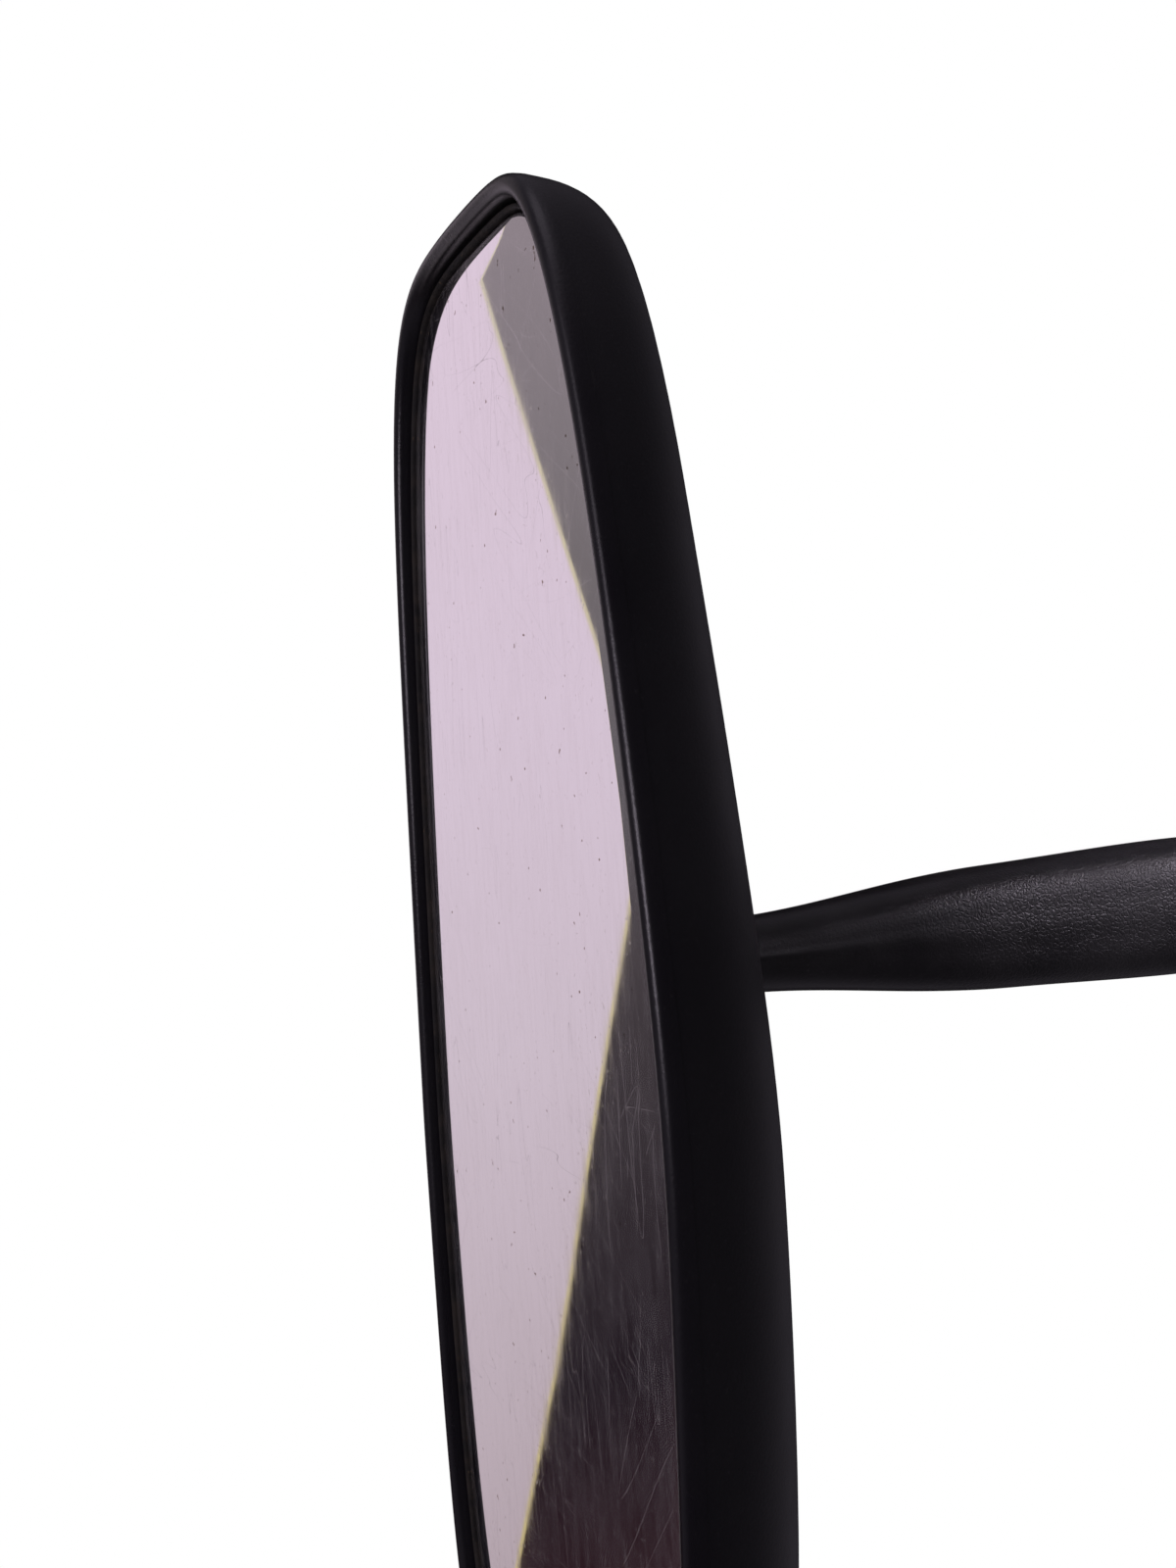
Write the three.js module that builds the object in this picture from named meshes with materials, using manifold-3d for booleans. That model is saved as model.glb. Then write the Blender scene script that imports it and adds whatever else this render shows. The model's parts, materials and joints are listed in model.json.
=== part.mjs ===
// Handlebar mirror: a long convex mirror head on a ball joint, a swan-neck arm in a grained
// sleeve, and a two-piece clamp for a 22.2 mm handlebar that the arm folds on.
// Millimetres. The origin is the middle of the clamp on the handlebar's axis, +X points
// outboard along the bar, +Y to the front of the bicycle and +Z up. The glass faces -Y.
import * as THREE from 'three';
import { mergeVertices } from 'three/addons/utils/BufferGeometryUtils.js';
import Module from 'manifold-3d';

const wasm = await Module();
wasm.setup();

// ---- driving dimensions -------------------------------------------------------------------

const GAP = 0.3;                    // between pieces that touch or are cut by each other
const ROUND = 24;                   // sides of a turned piece
const SMALL_ROUND = 14;             // sides of a fastener

const BAR_RADIUS = 11.1;            // 22.2 mm handlebar
const SHIM_THICKNESS = 1.8;
const CLAMP_HALF_WIDTH = 11;        // along the bar
const CLAMP_OUTER_RADIUS = 18.5;
const SPLIT = 0.8;                  // half of the slit between saddle and cap
const FLANGE_REACH = 29;
const FLANGE_TOP = 9;
const CLAMP_BOLT_Y = 23.5;

const PIVOT = new THREE.Vector3(0, 8, 26);
const PIVOT_RADIUS = 3;             // M6 bolt
const EAR_RADIUS = 9;
const EAR_INNER = 6.6;
const KNUCKLE_HALF_WIDTH = 5;
const KNUCKLE_RADIUS = 8;
const STUB_RADIUS = 6.6;
const STUB_LENGTH = 24;             // from the pivot to the shoulder that the sleeve meets

const LEG_LEAN = THREE.MathUtils.degToRad(22);
const LEG_LENGTH = 92;              // from the pivot to the start of the bend
const BEND_RADIUS = 26;
const BEND_ANGLE = Math.PI / 2 + LEG_LEAN;
const REACH = 98;                   // from the rim's plane to the end of the bend
const CORE_RADIUS = 4;
const SLEEVE_START = 26.5;          // all distances along the neck are from the rim's plane
const CORE_START = 42.6;

const HEAD_TIP = 87;                // from the neck's axis to the narrow outboard end
const HEAD_ROOT = -104;
// The head above and below the neck's axis: its half width where it is widest, where that
// is, and how much is lost 100 mm further towards the tip and towards the wide end.
const UPPER_EDGE = { width: 41.8, widestAt: -24, tipTaper: 5.6, power: 1.1, rootTaper: 1 };
const LOWER_EDGE = { width: 40.3, widestAt: -12, tipTaper: 15.5, power: 1.4, rootTaper: 9 };
const SQUARENESS = 5.5;             // exponent of the outline's superellipse
const TIP_CROWN = 0.0025;           // how the narrow end falls away from its highest place
const CROWN_AT = 5;
const HEAD_DEPTH = 21.3;            // over the neck; the bowl deepens towards its wide end
const DEPTH_SKEW = 0.07;
const SKEW_SPAN = 40;
const TIP_LOSS = 0.2;               // share of the depth lost towards the narrow end
const TIP_SHOULDER = 0.85;          // how much fuller the bowl's corner grows there
const TIP_FROM = 35;
const TIP_TO = 75;
const WALL = 2.4;
const OUTER_FULLNESS = 2.5;         // exponents of the bowl's section, outside and inside
const INNER_FULLNESS = 3;
const LIP_WIDTH = 2.4;
const LIP_ROUND = 1.2;
const DISH_RADIUS = 29;             // shallow round recess in the back, about the neck
const DISH_DEPTH = 1.3;
const APERTURE_RADIUS = 7.6;

const GLASS_CURVE = 9000;           // radius of the nearly flat glass
const GLASS_FRONT = 1.8;
const GLASS_THICKNESS = 2;
const FOAM_THICKNESS = 0.8;
const CARRIER_THICKNESS = 1.5;

const BALL_DEPTH = 15;
const BALL_RADIUS = 6.5;
const STUD_NECK_RADIUS = 4.2;
const SHANK_RADIUS = 3.5;
const LINER_THICKNESS = 1.2;
const RETAINER_RADIUS = 17;
const RETAINER_FRONT = BALL_DEPTH - 4.9;
const RETAINER_SCREW_CIRCLE = 13;
const SCREW_RADIUS = 1.3;
const SCREW_HEAD_RADIUS = 2.6;
const SCREW_SEAT = RETAINER_FRONT + 1.6;
const SCREW_END = 18.2;

// ---- materials ----------------------------------------------------------------------------

function finish(color, roughness, metalness) {
  return () => new THREE.MeshStandardMaterial({ color, roughness, metalness });
}

const blackShell = finish(0x141318, 0.42, 0);
const blackSleeve = finish(0x151417, 0.55, 0);
const mirrorGlass = finish(0xd8d2d8, 0.03, 1);
const rubber = finish(0x101012, 0.85, 0);
const foam = finish(0x3a3a3c, 0.95, 0);
const greyPlastic = finish(0x2a2a2e, 0.6, 0);
const nylon = finish(0xd9d6cc, 0.5, 0);
const castBlack = finish(0x19191b, 0.5, 0.4);
const zincSteel = finish(0xb8b9bd, 0.35, 1);

// ---- solids -------------------------------------------------------------------------------

// A closed geometry as a solid with its faces pointing out.
function solid(geometry) {
  const bare = geometry.clone();
  bare.deleteAttribute('normal');
  bare.deleteAttribute('uv');
  const merged = mergeVertices(bare, 1e-4);
  const vertProperties = new Float32Array(merged.attributes.position.array);
  const triVerts = new Uint32Array(merged.index.array);
  if (signedVolume(vertProperties, triVerts) < 0) {
    triVerts.reverse();
  }
  return new wasm.Manifold(new wasm.Mesh({ numProp: 3, vertProperties, triVerts }));
}

function signedVolume(points, corners) {
  const [a, b, c] = [new THREE.Vector3(), new THREE.Vector3(), new THREE.Vector3()];
  let six = 0;
  for (let i = 0; i < corners.length; i += 3) {
    a.fromArray(points, 3 * corners[i]);
    b.fromArray(points, 3 * corners[i + 1]);
    c.fromArray(points, 3 * corners[i + 2]);
    six += a.dot(b.cross(c));
  }
  return six;
}

function geometryOf(body) {
  const { vertProperties, triVerts } = body.getMesh();
  const geometry = new THREE.BufferGeometry();
  geometry.setAttribute('position', new THREE.BufferAttribute(vertProperties, 3));
  geometry.setIndex(new THREE.BufferAttribute(triVerts, 1));
  geometry.computeVertexNormals();
  return geometry;
}

// A profile of [radius, height] pairs turned about +Y, and then its axis laid along `axis`.
function turned(profile, base, axis, sides = ROUND) {
  const points = profile.map(([radius, height]) => new THREE.Vector2(radius, height));
  const geometry = new THREE.LatheGeometry(points, sides);
  const up = new THREE.Vector3(0, 1, 0);
  geometry.applyQuaternion(new THREE.Quaternion().setFromUnitVectors(up, axis));
  geometry.translate(base.x, base.y, base.z);
  return solid(geometry);
}

function rod(radius, from, to, base, axis, sides = ROUND) {
  return turned([[0, from], [radius, from], [radius, to], [0, to]], base, axis, sides);
}

function ring(inner, outer, from, to, base, axis, sides = ROUND) {
  const profile = [[inner, from], [outer, from], [outer, to], [inner, to], [inner, from]];
  return turned(profile, base, axis, sides);
}

function hexPrism(acrossFlats, from, to, base, axis) {
  return rod(acrossFlats / Math.sqrt(3), from, to, base, axis, 6);
}

// A shape drawn in (Y, Z) and extruded along the bar from x = from to x = to.
function plate(shape, from, to, curveSegments = 20) {
  const options = { depth: to - from, bevelEnabled: false, curveSegments };
  const geometry = new THREE.ExtrudeGeometry(shape, options);
  const turn = new THREE.Matrix4().makeBasis(ALONG_Y, ALONG_Z, ALONG_X);
  geometry.applyMatrix4(turn);
  geometry.translate(from, 0, 0);
  return solid(geometry);
}

const ALONG_X = new THREE.Vector3(1, 0, 0);
const ALONG_Y = new THREE.Vector3(0, 1, 0);
const ALONG_Z = new THREE.Vector3(0, 0, 1);
const ORIGIN = new THREE.Vector3();

// ---- where the arm runs -------------------------------------------------------------------

const LEG_DIRECTION = new THREE.Vector3(0, Math.sin(LEG_LEAN), Math.cos(LEG_LEAN));
const BEND_CENTRE = PIVOT.clone()
  .addScaledVector(LEG_DIRECTION, LEG_LENGTH)
  .add(new THREE.Vector3(0, -Math.cos(LEG_LEAN), Math.sin(LEG_LEAN)).multiplyScalar(BEND_RADIUS));
const NECK_HEIGHT = BEND_CENTRE.z + BEND_RADIUS;
const RIM_Y = BEND_CENTRE.y - REACH;
const BALL = new THREE.Vector3(0, RIM_Y + BALL_DEPTH, NECK_HEIGHT);

// The arm's centre line and its outward normal, by distance from the rim's plane.
function armAt(distance) {
  const around = (distance - REACH) / BEND_RADIUS;
  if (around <= 0) {
    return { centre: new THREE.Vector3(0, RIM_Y + distance, NECK_HEIGHT), normal: ALONG_Z };
  }
  const turn = Math.min(around, BEND_ANGLE);
  const normal = new THREE.Vector3(0, Math.sin(turn), Math.cos(turn));
  const centre = BEND_CENTRE.clone().addScaledVector(normal, BEND_RADIUS);
  centre.addScaledVector(LEG_DIRECTION, -BEND_RADIUS * (around - turn));
  return { centre, normal };
}

const SLEEVE_END = REACH + BEND_RADIUS * BEND_ANGLE + LEG_LENGTH - STUB_LENGTH - GAP;

// A solid along the arm from one distance to another, its section a superellipse of
// [width, thickness, exponent] at each distance.
function alongArm(from, to, steps, sides, sectionAt) {
  const circle = new THREE.Shape();
  circle.absarc(0, 0, 1, 0, 2 * Math.PI, false);
  const options = { depth: 1, steps, bevelEnabled: false, curveSegments: sides / 2 };
  const geometry = new THREE.ExtrudeGeometry(circle, options);
  const position = geometry.attributes.position;
  for (let i = 0; i < position.count; i += 1) {
    const distance = from + (to - from) * position.getZ(i);
    const [width, thickness, exponent] = sectionAt(distance);
    const { centre, normal } = armAt(distance);
    const across = rounded(position.getX(i), exponent) * width / 2;
    const out = rounded(position.getY(i), exponent) * thickness / 2;
    position.setXYZ(i, across, centre.y + normal.y * out, centre.z + normal.z * out);
  }
  return solid(geometry);
}

function rounded(value, exponent) {
  return Math.abs(value) < 1e-9 ? 0 : Math.sign(value) * Math.abs(value) ** (2 / exponent);
}

function sleeveSection(distance) {
  const flare = THREE.MathUtils.smoothstep(distance, SLEEVE_START, 65);
  const later = THREE.MathUtils.smoothstep(distance, 56, 98);
  const foot = THREE.MathUtils.smoothstep(distance, SLEEVE_END - 22, SLEEVE_END);
  const width = 9 + 6.2 * flare + 2.8 * later - 4 * foot;
  const thickness = 9 + 3 * flare + 2 * foot;
  const exponent = 2 + 1.4 * flare - 1.4 * foot;
  return [width, thickness, exponent];
}

// ---- the head's outline -------------------------------------------------------------------

const HEAD_CENTRE = (HEAD_TIP + HEAD_ROOT) / 2;
const EDGE = 40;                    // radius that stands for the outline in a head profile

function halfWidthAt(x, side) {
  const away = (x - side.widestAt) / 100;
  return side.width - (away > 0 ? side.tipTaper : side.rootTaper) * Math.abs(away) ** side.power;
}

// A point of the outline, moved in by `inset`. Points close up towards the four corners.
function outlineAt(angle, inset) {
  const quarter = angle / (Math.PI / 2);
  const whole = Math.floor(quarter);
  const part = quarter - whole;
  const spread = part ** 2 / (part ** 2 + (1 - part) ** 2);
  const turn = (whole + spread) * Math.PI / 2;
  const halfLength = (HEAD_TIP - HEAD_ROOT) / 2 - inset;
  const x = HEAD_CENTRE + halfLength * rounded(Math.cos(turn), SQUARENESS);
  const side = Math.sin(turn) > 0 ? UPPER_EDGE : LOWER_EDGE;
  const z = (halfWidthAt(x, side) - inset) * rounded(Math.sin(turn), SQUARENESS);
  return [x, z];
}

function glassSag(x, z) {
  return ((x - HEAD_CENTRE) ** 2 + z ** 2) / (2 * GLASS_CURVE);
}

function bowlDepth(depth, x) {
  const tip = THREE.MathUtils.smoothstep(x, TIP_FROM, TIP_TO);
  const kept = 1 - DEPTH_SKEW * Math.tanh(x / SKEW_SPAN) - TIP_LOSS * tip;
  return depth * kept * (1 + TIP_SHOULDER * tip * (1 - depth / HEAD_DEPTH));
}

function crowned(x, z) {
  return x - TIP_CROWN * (z - CROWN_AT) ** 2 * Math.max(0, x / HEAD_TIP) ** 6;
}

// How a head piece is drawn out: `band` is the width inside the outline that keeps its true
// distance from it, and `depthAt` bends the piece.
const AS_GLASS = { band: 7, depthAt: (depth, x, z) => depth + glassSag(x, z) };
const AS_BOWL = { band: 5, depthAt: bowlDepth };

// A closed profile of [radius, depth] turned about the head's middle and drawn out to the
// outline. Depth runs forward from the rim's plane.
function headPiece(profile, { band, depthAt }, sides = 48) {
  const points = profile.map(([radius, depth]) => new THREE.Vector2(radius, depth));
  const geometry = new THREE.LatheGeometry(points, sides);
  const position = geometry.attributes.position;
  for (let i = 0; i < position.count; i += 1) {
    const radius = Math.hypot(position.getX(i), position.getZ(i));
    const angle = Math.atan2(position.getZ(i), position.getX(i));
    const [edgeX, edgeZ] = outlineAt(angle, Math.min(EDGE - radius, band));
    const share = Math.min(1, radius / (EDGE - band));
    const x = HEAD_CENTRE + (edgeX - HEAD_CENTRE) * share;
    const z = edgeZ * share;
    const y = RIM_Y + depthAt(position.getY(i), x, z);
    position.setXYZ(i, crowned(x, z), y, NECK_HEIGHT + z);
  }
  return solid(geometry);
}

// The bowl's section from a share `from` of a quarter turn to its pole on the axis.
function bowlProfile(radius, depth, exponent, from, steps) {
  const points = [];
  for (let i = 0; i < steps; i += 1) {
    const turn = (from + (1 - from) * i / steps) * Math.PI / 2;
    const out = radius * rounded(Math.cos(turn), exponent);
    points.push([out, depth * rounded(Math.sin(turn), exponent)]);
  }
  return [...points, [0, depth]];
}

function bowl(radius, depth) {
  return headPiece([[0, 0], ...bowlProfile(radius, depth, OUTER_FULLNESS, 0, 9)], AS_BOWL);
}

// ---- head pieces --------------------------------------------------------------------------

function housingShell() {
  const lipInner = EDGE - LIP_WIDTH;
  const lip = [0, 1, 2, 3, 4].map((i) => {
    const turn = Math.PI * (1 - i / 4);
    return [EDGE - LIP_ROUND + LIP_ROUND * Math.cos(turn), LIP_ROUND * (1 - Math.sin(turn))];
  });
  const inside = bowlProfile(lipInner, HEAD_DEPTH - WALL, INNER_FULLNESS, 0.16, 8);
  const outside = bowlProfile(EDGE, HEAD_DEPTH, OUTER_FULLNESS, 0.12, 9);
  let shell = headPiece([...inside.reverse(), ...lip, ...outside], AS_BOWL);
  const within = bowl(EDGE - 0.8, HEAD_DEPTH - 0.8);
  for (const boss of [socketBoss(), ...screwBosses(), ...carrierPosts()]) {
    shell = shell.add(boss.intersect(within));
  }
  shell = shell.subtract(rod(DISH_RADIUS, 0, 40, neckPoint(0), ALONG_Y, 44)
    .subtract(bowl(EDGE - DISH_DEPTH * 0.6, HEAD_DEPTH - DISH_DEPTH)));
  shell = shell.subtract(ballSpace(LINER_OUTER + GAP));
  shell = shell.subtract(rod(APERTURE_RADIUS, BALL_DEPTH, 40, neckPoint(0), ALONG_Y));
  for (const place of screwPlaces()) {
    shell = shell.subtract(rod(SCREW_RADIUS + GAP, 0, SCREW_END + GAP, place, ALONG_Y, SMALL_ROUND));
  }
  return shell;
}

const LINER_OUTER = BALL_RADIUS + GAP + LINER_THICKNESS;

function neckPoint(depth) {
  return new THREE.Vector3(0, RIM_Y + depth, NECK_HEIGHT);
}

function ballSpace(radius) {
  const sphere = new THREE.SphereGeometry(radius, ROUND, 14);
  sphere.translate(BALL.x, BALL.y, BALL.z);
  return solid(sphere);
}

function socketBoss() {
  return rod(11, BALL_DEPTH + GAP, 40, neckPoint(0), ALONG_Y);
}

function screwPlaces() {
  return [90, 210, 330].map((degrees) => {
    const turn = THREE.MathUtils.degToRad(degrees);
    const place = neckPoint(0);
    place.x += RETAINER_SCREW_CIRCLE * Math.cos(turn);
    place.z += RETAINER_SCREW_CIRCLE * Math.sin(turn);
    return place;
  });
}

function screwBosses() {
  return screwPlaces().map((place) => rod(3.4, BALL_DEPTH + GAP, 40, place, ALONG_Y, SMALL_ROUND));
}

// Four posts that the glass carrier sits on, near the head's corners.
function carrierPosts() {
  const posts = [];
  for (const [x, z] of [[52, 20], [52, -20], [-70, 24], [-70, -24]]) {
    const foot = GLASS_BACK + FOAM_THICKNESS + CARRIER_THICKNESS + 3 * GAP + glassSag(x, z);
    const place = new THREE.Vector3(x, RIM_Y, NECK_HEIGHT + z);
    posts.push(rod(3, foot, 40, place, ALONG_Y, SMALL_ROUND));
  }
  return posts;
}

const GLASS_BACK = GLASS_FRONT + GLASS_THICKNESS;
const GASKET_OUTER = EDGE - LIP_WIDTH - 0.5;
const GLASS_RADIUS = GASKET_OUTER - 0.9;

function sheet(radius, front, thickness) {
  const back = front + thickness;
  const middle = radius / 2;
  return headPiece([[0, front], [middle, front], [radius, front], [radius, back],
    [middle, back], [0, back]], AS_GLASS);
}

function glassGasket() {
  const outer = GASKET_OUTER;
  const lipInner = GLASS_RADIUS + GAP;
  const seatInner = GLASS_RADIUS - 1.6;
  const front = GLASS_FRONT - 0.4;
  const seat = GLASS_BACK + GAP;
  const back = seat + FOAM_THICKNESS;
  return headPiece([[outer, front], [outer, GLASS_BACK - 0.6], [outer - 1.2, back], [seatInner, back],
    [seatInner, seat], [lipInner, seat], [lipInner, front], [outer, front]], AS_GLASS);
}

function foamPad() {
  return sheet(GLASS_RADIUS - 1.6 - GAP, GLASS_BACK + GAP, FOAM_THICKNESS);
}

function glassCarrier() {
  const front = GLASS_BACK + FOAM_THICKNESS + 2 * GAP;
  return sheet(GLASS_RADIUS - 3, front, CARRIER_THICKNESS);
}

function retainerPlate() {
  let plateBody = rod(RETAINER_RADIUS, RETAINER_FRONT, BALL_DEPTH, neckPoint(0), ALONG_Y, 36);
  plateBody = plateBody.subtract(ballSpace(LINER_OUTER + GAP));
  for (const place of screwPlaces()) {
    plateBody = plateBody.subtract(rod(SCREW_RADIUS + GAP, 0, 40, place, ALONG_Y, SMALL_ROUND));
    plateBody = plateBody.subtract(rod(SCREW_HEAD_RADIUS + GAP, 0, SCREW_SEAT + GAP, place, ALONG_Y,
      SMALL_ROUND));
  }
  return plateBody;
}

function retainerScrew(place) {
  const head = rod(SCREW_HEAD_RADIUS, SCREW_SEAT - 2, SCREW_SEAT, place, ALONG_Y, SMALL_ROUND);
  const shank = rod(SCREW_RADIUS, SCREW_SEAT - 0.5, SCREW_END, place, ALONG_Y, SMALL_ROUND);
  const socket = rod(0.9, SCREW_SEAT - 3, SCREW_SEAT - 1, place, ALONG_Y, 4);
  return head.add(shank).subtract(socket);
}

// ---- ball joint ---------------------------------------------------------------------------

function ballStud() {
  const points = [];
  const steps = 9;
  const joinAngle = Math.PI - Math.asin(STUD_NECK_RADIUS / BALL_RADIUS);
  for (let i = 0; i <= steps; i += 1) {
    const turn = joinAngle * i / steps;
    points.push([BALL_RADIUS * Math.sin(turn), BALL_DEPTH - BALL_RADIUS * Math.cos(turn)]);
  }
  const shoulder = SLEEVE_START - GAP;
  const end = CORE_START - 2 * GAP;
  points.push([STUD_NECK_RADIUS, shoulder - 0.6], [STUD_NECK_RADIUS - 0.6, shoulder]);
  points.push([SHANK_RADIUS, shoulder], [SHANK_RADIUS, end], [0, end]);
  return turned(points, neckPoint(0), ALONG_Y);
}

// The nylon seat is a zone of a ball: turning it about any line through its middle leaves
// its faces where they were.
function socketLiner() {
  const [first, last, steps] = [57, 122, 6];
  const inner = BALL_RADIUS + GAP;
  const arc = (radius) => Array.from({ length: steps + 1 }, (_, i) => {
    const turn = THREE.MathUtils.degToRad(first + (last - first) * i / steps);
    return [radius * Math.sin(turn), radius * Math.cos(turn)];
  });
  const profile = [...arc(inner), ...arc(LINER_OUTER).reverse()];
  return turned([...profile, profile[0]], BALL, ALONG_Y);
}

// ---- arm ----------------------------------------------------------------------------------

function armSleeve() {
  const skin = alongArm(SLEEVE_START, SLEEVE_END, 38, 20, sleeveSection);
  const coreBore = 2 * (CORE_RADIUS + GAP);
  const bore = alongArm(CORE_START - GAP, SLEEVE_END + 1, 34, 12, () => [coreBore, coreBore, 2]);
  const shankBore = rod(SHANK_RADIUS + GAP, 20, CORE_START, neckPoint(0), ALONG_Y, 16);
  return skin.subtract(bore).subtract(shankBore);
}

function armCore() {
  const size = 2 * CORE_RADIUS;
  const end = SLEEVE_END + 13;
  return alongArm(CORE_START, end, 36, 12, () => [size, size, 2]);
}

function armKnuckle() {
  const half = KNUCKLE_HALF_WIDTH;
  const eye = rod(KNUCKLE_RADIUS, -half, half, PIVOT, ALONG_X);
  const web = turned([[0, 4], [half, 4], [half, 9.4], [STUB_RADIUS, 11.4], [STUB_RADIUS, STUB_LENGTH - 1],
    [STUB_RADIUS - 1, STUB_LENGTH], [0, STUB_LENGTH]], PIVOT, LEG_DIRECTION);
  const coreBore = rod(CORE_RADIUS + GAP, STUB_LENGTH - 13.4, 40, PIVOT, LEG_DIRECTION, 16);
  const pivotBore = rod(PIVOT_RADIUS + GAP, -20, 20, PIVOT, ALONG_X, SMALL_ROUND);
  return eye.add(web).subtract(coreBore).subtract(pivotBore);
}

function frictionWasher(side) {
  const inner = KNUCKLE_HALF_WIDTH + GAP;
  const outer = EAR_INNER - GAP;
  const [from, to] = side > 0 ? [inner, outer] : [-outer, -inner];
  return ring(PIVOT_RADIUS + GAP, 7.4, from, to, PIVOT, ALONG_X, 24);
}

// ---- handlebar clamp ----------------------------------------------------------------------

const BORE_RADIUS = BAR_RADIUS + SHIM_THICKNESS + GAP;

// Half of the clamp seen along the bar, above the slit: a half ring with a flange each side.
function clampHalfShape() {
  const shape = new THREE.Shape();
  const meet = Math.asin(FLANGE_TOP / CLAMP_OUTER_RADIUS);
  const slit = Math.asin(SPLIT / BORE_RADIUS);
  const soften = 2.5;
  shape.moveTo(FLANGE_REACH, SPLIT);
  shape.lineTo(FLANGE_REACH, FLANGE_TOP - soften);
  shape.absarc(FLANGE_REACH - soften, FLANGE_TOP - soften, soften, 0, Math.PI / 2, false);
  shape.absarc(0, 0, CLAMP_OUTER_RADIUS, meet, Math.PI - meet, false);
  shape.absarc(soften - FLANGE_REACH, FLANGE_TOP - soften, soften, Math.PI / 2, Math.PI, false);
  shape.lineTo(-FLANGE_REACH, SPLIT);
  shape.absarc(0, 0, BORE_RADIUS, Math.PI - slit, slit, true);
  shape.closePath();
  return shape;
}

function earShape() {
  const shape = new THREE.Shape();
  shape.moveTo(-6, 14.6);
  shape.lineTo(PIVOT.y - EAR_RADIUS, PIVOT.z);
  shape.absarc(PIVOT.y, PIVOT.z, EAR_RADIUS, Math.PI, 0, true);
  shape.lineTo(16, 10);
  shape.lineTo(8, 14.6);
  shape.closePath();
  return shape;
}

function clampHoles(body) {
  for (const y of [CLAMP_BOLT_Y, -CLAMP_BOLT_Y]) {
    const place = new THREE.Vector3(0, y, 0);
    body = body.subtract(rod(2.5 + GAP, -30, 30, place, ALONG_Z, SMALL_ROUND));
  }
  return body;
}

function clampSaddle() {
  let body = plate(clampHalfShape(), -CLAMP_HALF_WIDTH, CLAMP_HALF_WIDTH);
  body = body.add(plate(earShape(), EAR_INNER, CLAMP_HALF_WIDTH, 14));
  body = body.add(plate(earShape(), -CLAMP_HALF_WIDTH, -EAR_INNER, 14));
  body = body.subtract(rod(PIVOT_RADIUS + GAP, -20, 20, PIVOT, ALONG_X, SMALL_ROUND));
  return clampHoles(body);
}

function clampCap() {
  const half = plate(clampHalfShape(), -CLAMP_HALF_WIDTH, CLAMP_HALF_WIDTH);
  return clampHoles(half.rotate([180, 0, 0]));
}

function barShim(side) {
  const shape = new THREE.Shape();
  const [inner, outer] = [BAR_RADIUS, BAR_RADIUS + SHIM_THICKNESS];
  const open = 0.1;
  shape.absarc(0, 0, outer, open, Math.PI - open, false);
  shape.absarc(0, 0, inner, Math.PI - open, open, true);
  shape.closePath();
  const shim = plate(shape, -CLAMP_HALF_WIDTH, CLAMP_HALF_WIDTH, 18);
  return side > 0 ? shim : shim.rotate([180, 0, 0]);
}

function clampBolt(side) {
  const place = new THREE.Vector3(0, side * CLAMP_BOLT_Y, 0);
  const top = FLANGE_TOP + GAP;
  const head = turned([[0, top], [4.25, top], [4.25, top + 4.4], [3.7, top + 5], [0, top + 5]],
    place, ALONG_Z, 24);
  const shank = rod(2.5, -15, top + 1, place, ALONG_Z, SMALL_ROUND);
  return head.add(shank).subtract(hexPrism(4, top + 2.4, top + 6, place, ALONG_Z));
}

function clampNut(side) {
  const place = new THREE.Vector3(0, side * CLAMP_BOLT_Y, 0);
  const top = -FLANGE_TOP - GAP;
  const hole = rod(2.5 + GAP, -30, 30, place, ALONG_Z, SMALL_ROUND);
  return hexPrism(8, top - 4, top, place, ALONG_Z).subtract(hole);
}

const PIVOT_END = -(CLAMP_HALF_WIDTH + 7.8);

function pivotBolt() {
  const seat = CLAMP_HALF_WIDTH + GAP;
  const head = turned([[0, seat], [5.4, seat], [5.2, seat + 1.4], [4, seat + 2.8], [2.6, seat + 3.4],
    [0, seat + 3.4]], PIVOT, ALONG_X, 24);
  const shank = rod(PIVOT_RADIUS, PIVOT_END, seat + 1, PIVOT, ALONG_X, SMALL_ROUND);
  return head.add(shank).subtract(hexPrism(4, seat + 1.3, seat + 6, PIVOT, ALONG_X));
}

function springWasher() {
  const seat = -CLAMP_HALF_WIDTH - GAP;
  return ring(PIVOT_RADIUS + GAP, 5.6, seat - 1, seat, PIVOT, ALONG_X, 24);
}

function pivotNut() {
  const seat = -CLAMP_HALF_WIDTH - 2 * GAP - 1;
  const hex = hexPrism(10, seat - 4, seat, PIVOT, ALONG_X);
  const collar = rod(4.3, seat - 5.4, seat - 3.5, PIVOT, ALONG_X, 24);
  return hex.add(collar).subtract(rod(PIVOT_RADIUS + GAP, -40, 0, PIVOT, ALONG_X, SMALL_ROUND));
}

// ---- the assembly -------------------------------------------------------------------------

const mirror = new THREE.Group();

function place(name, body, material) {
  const mesh = new THREE.Mesh(geometryOf(body), material());
  mesh.name = name;
  mirror.add(mesh);
}

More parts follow.
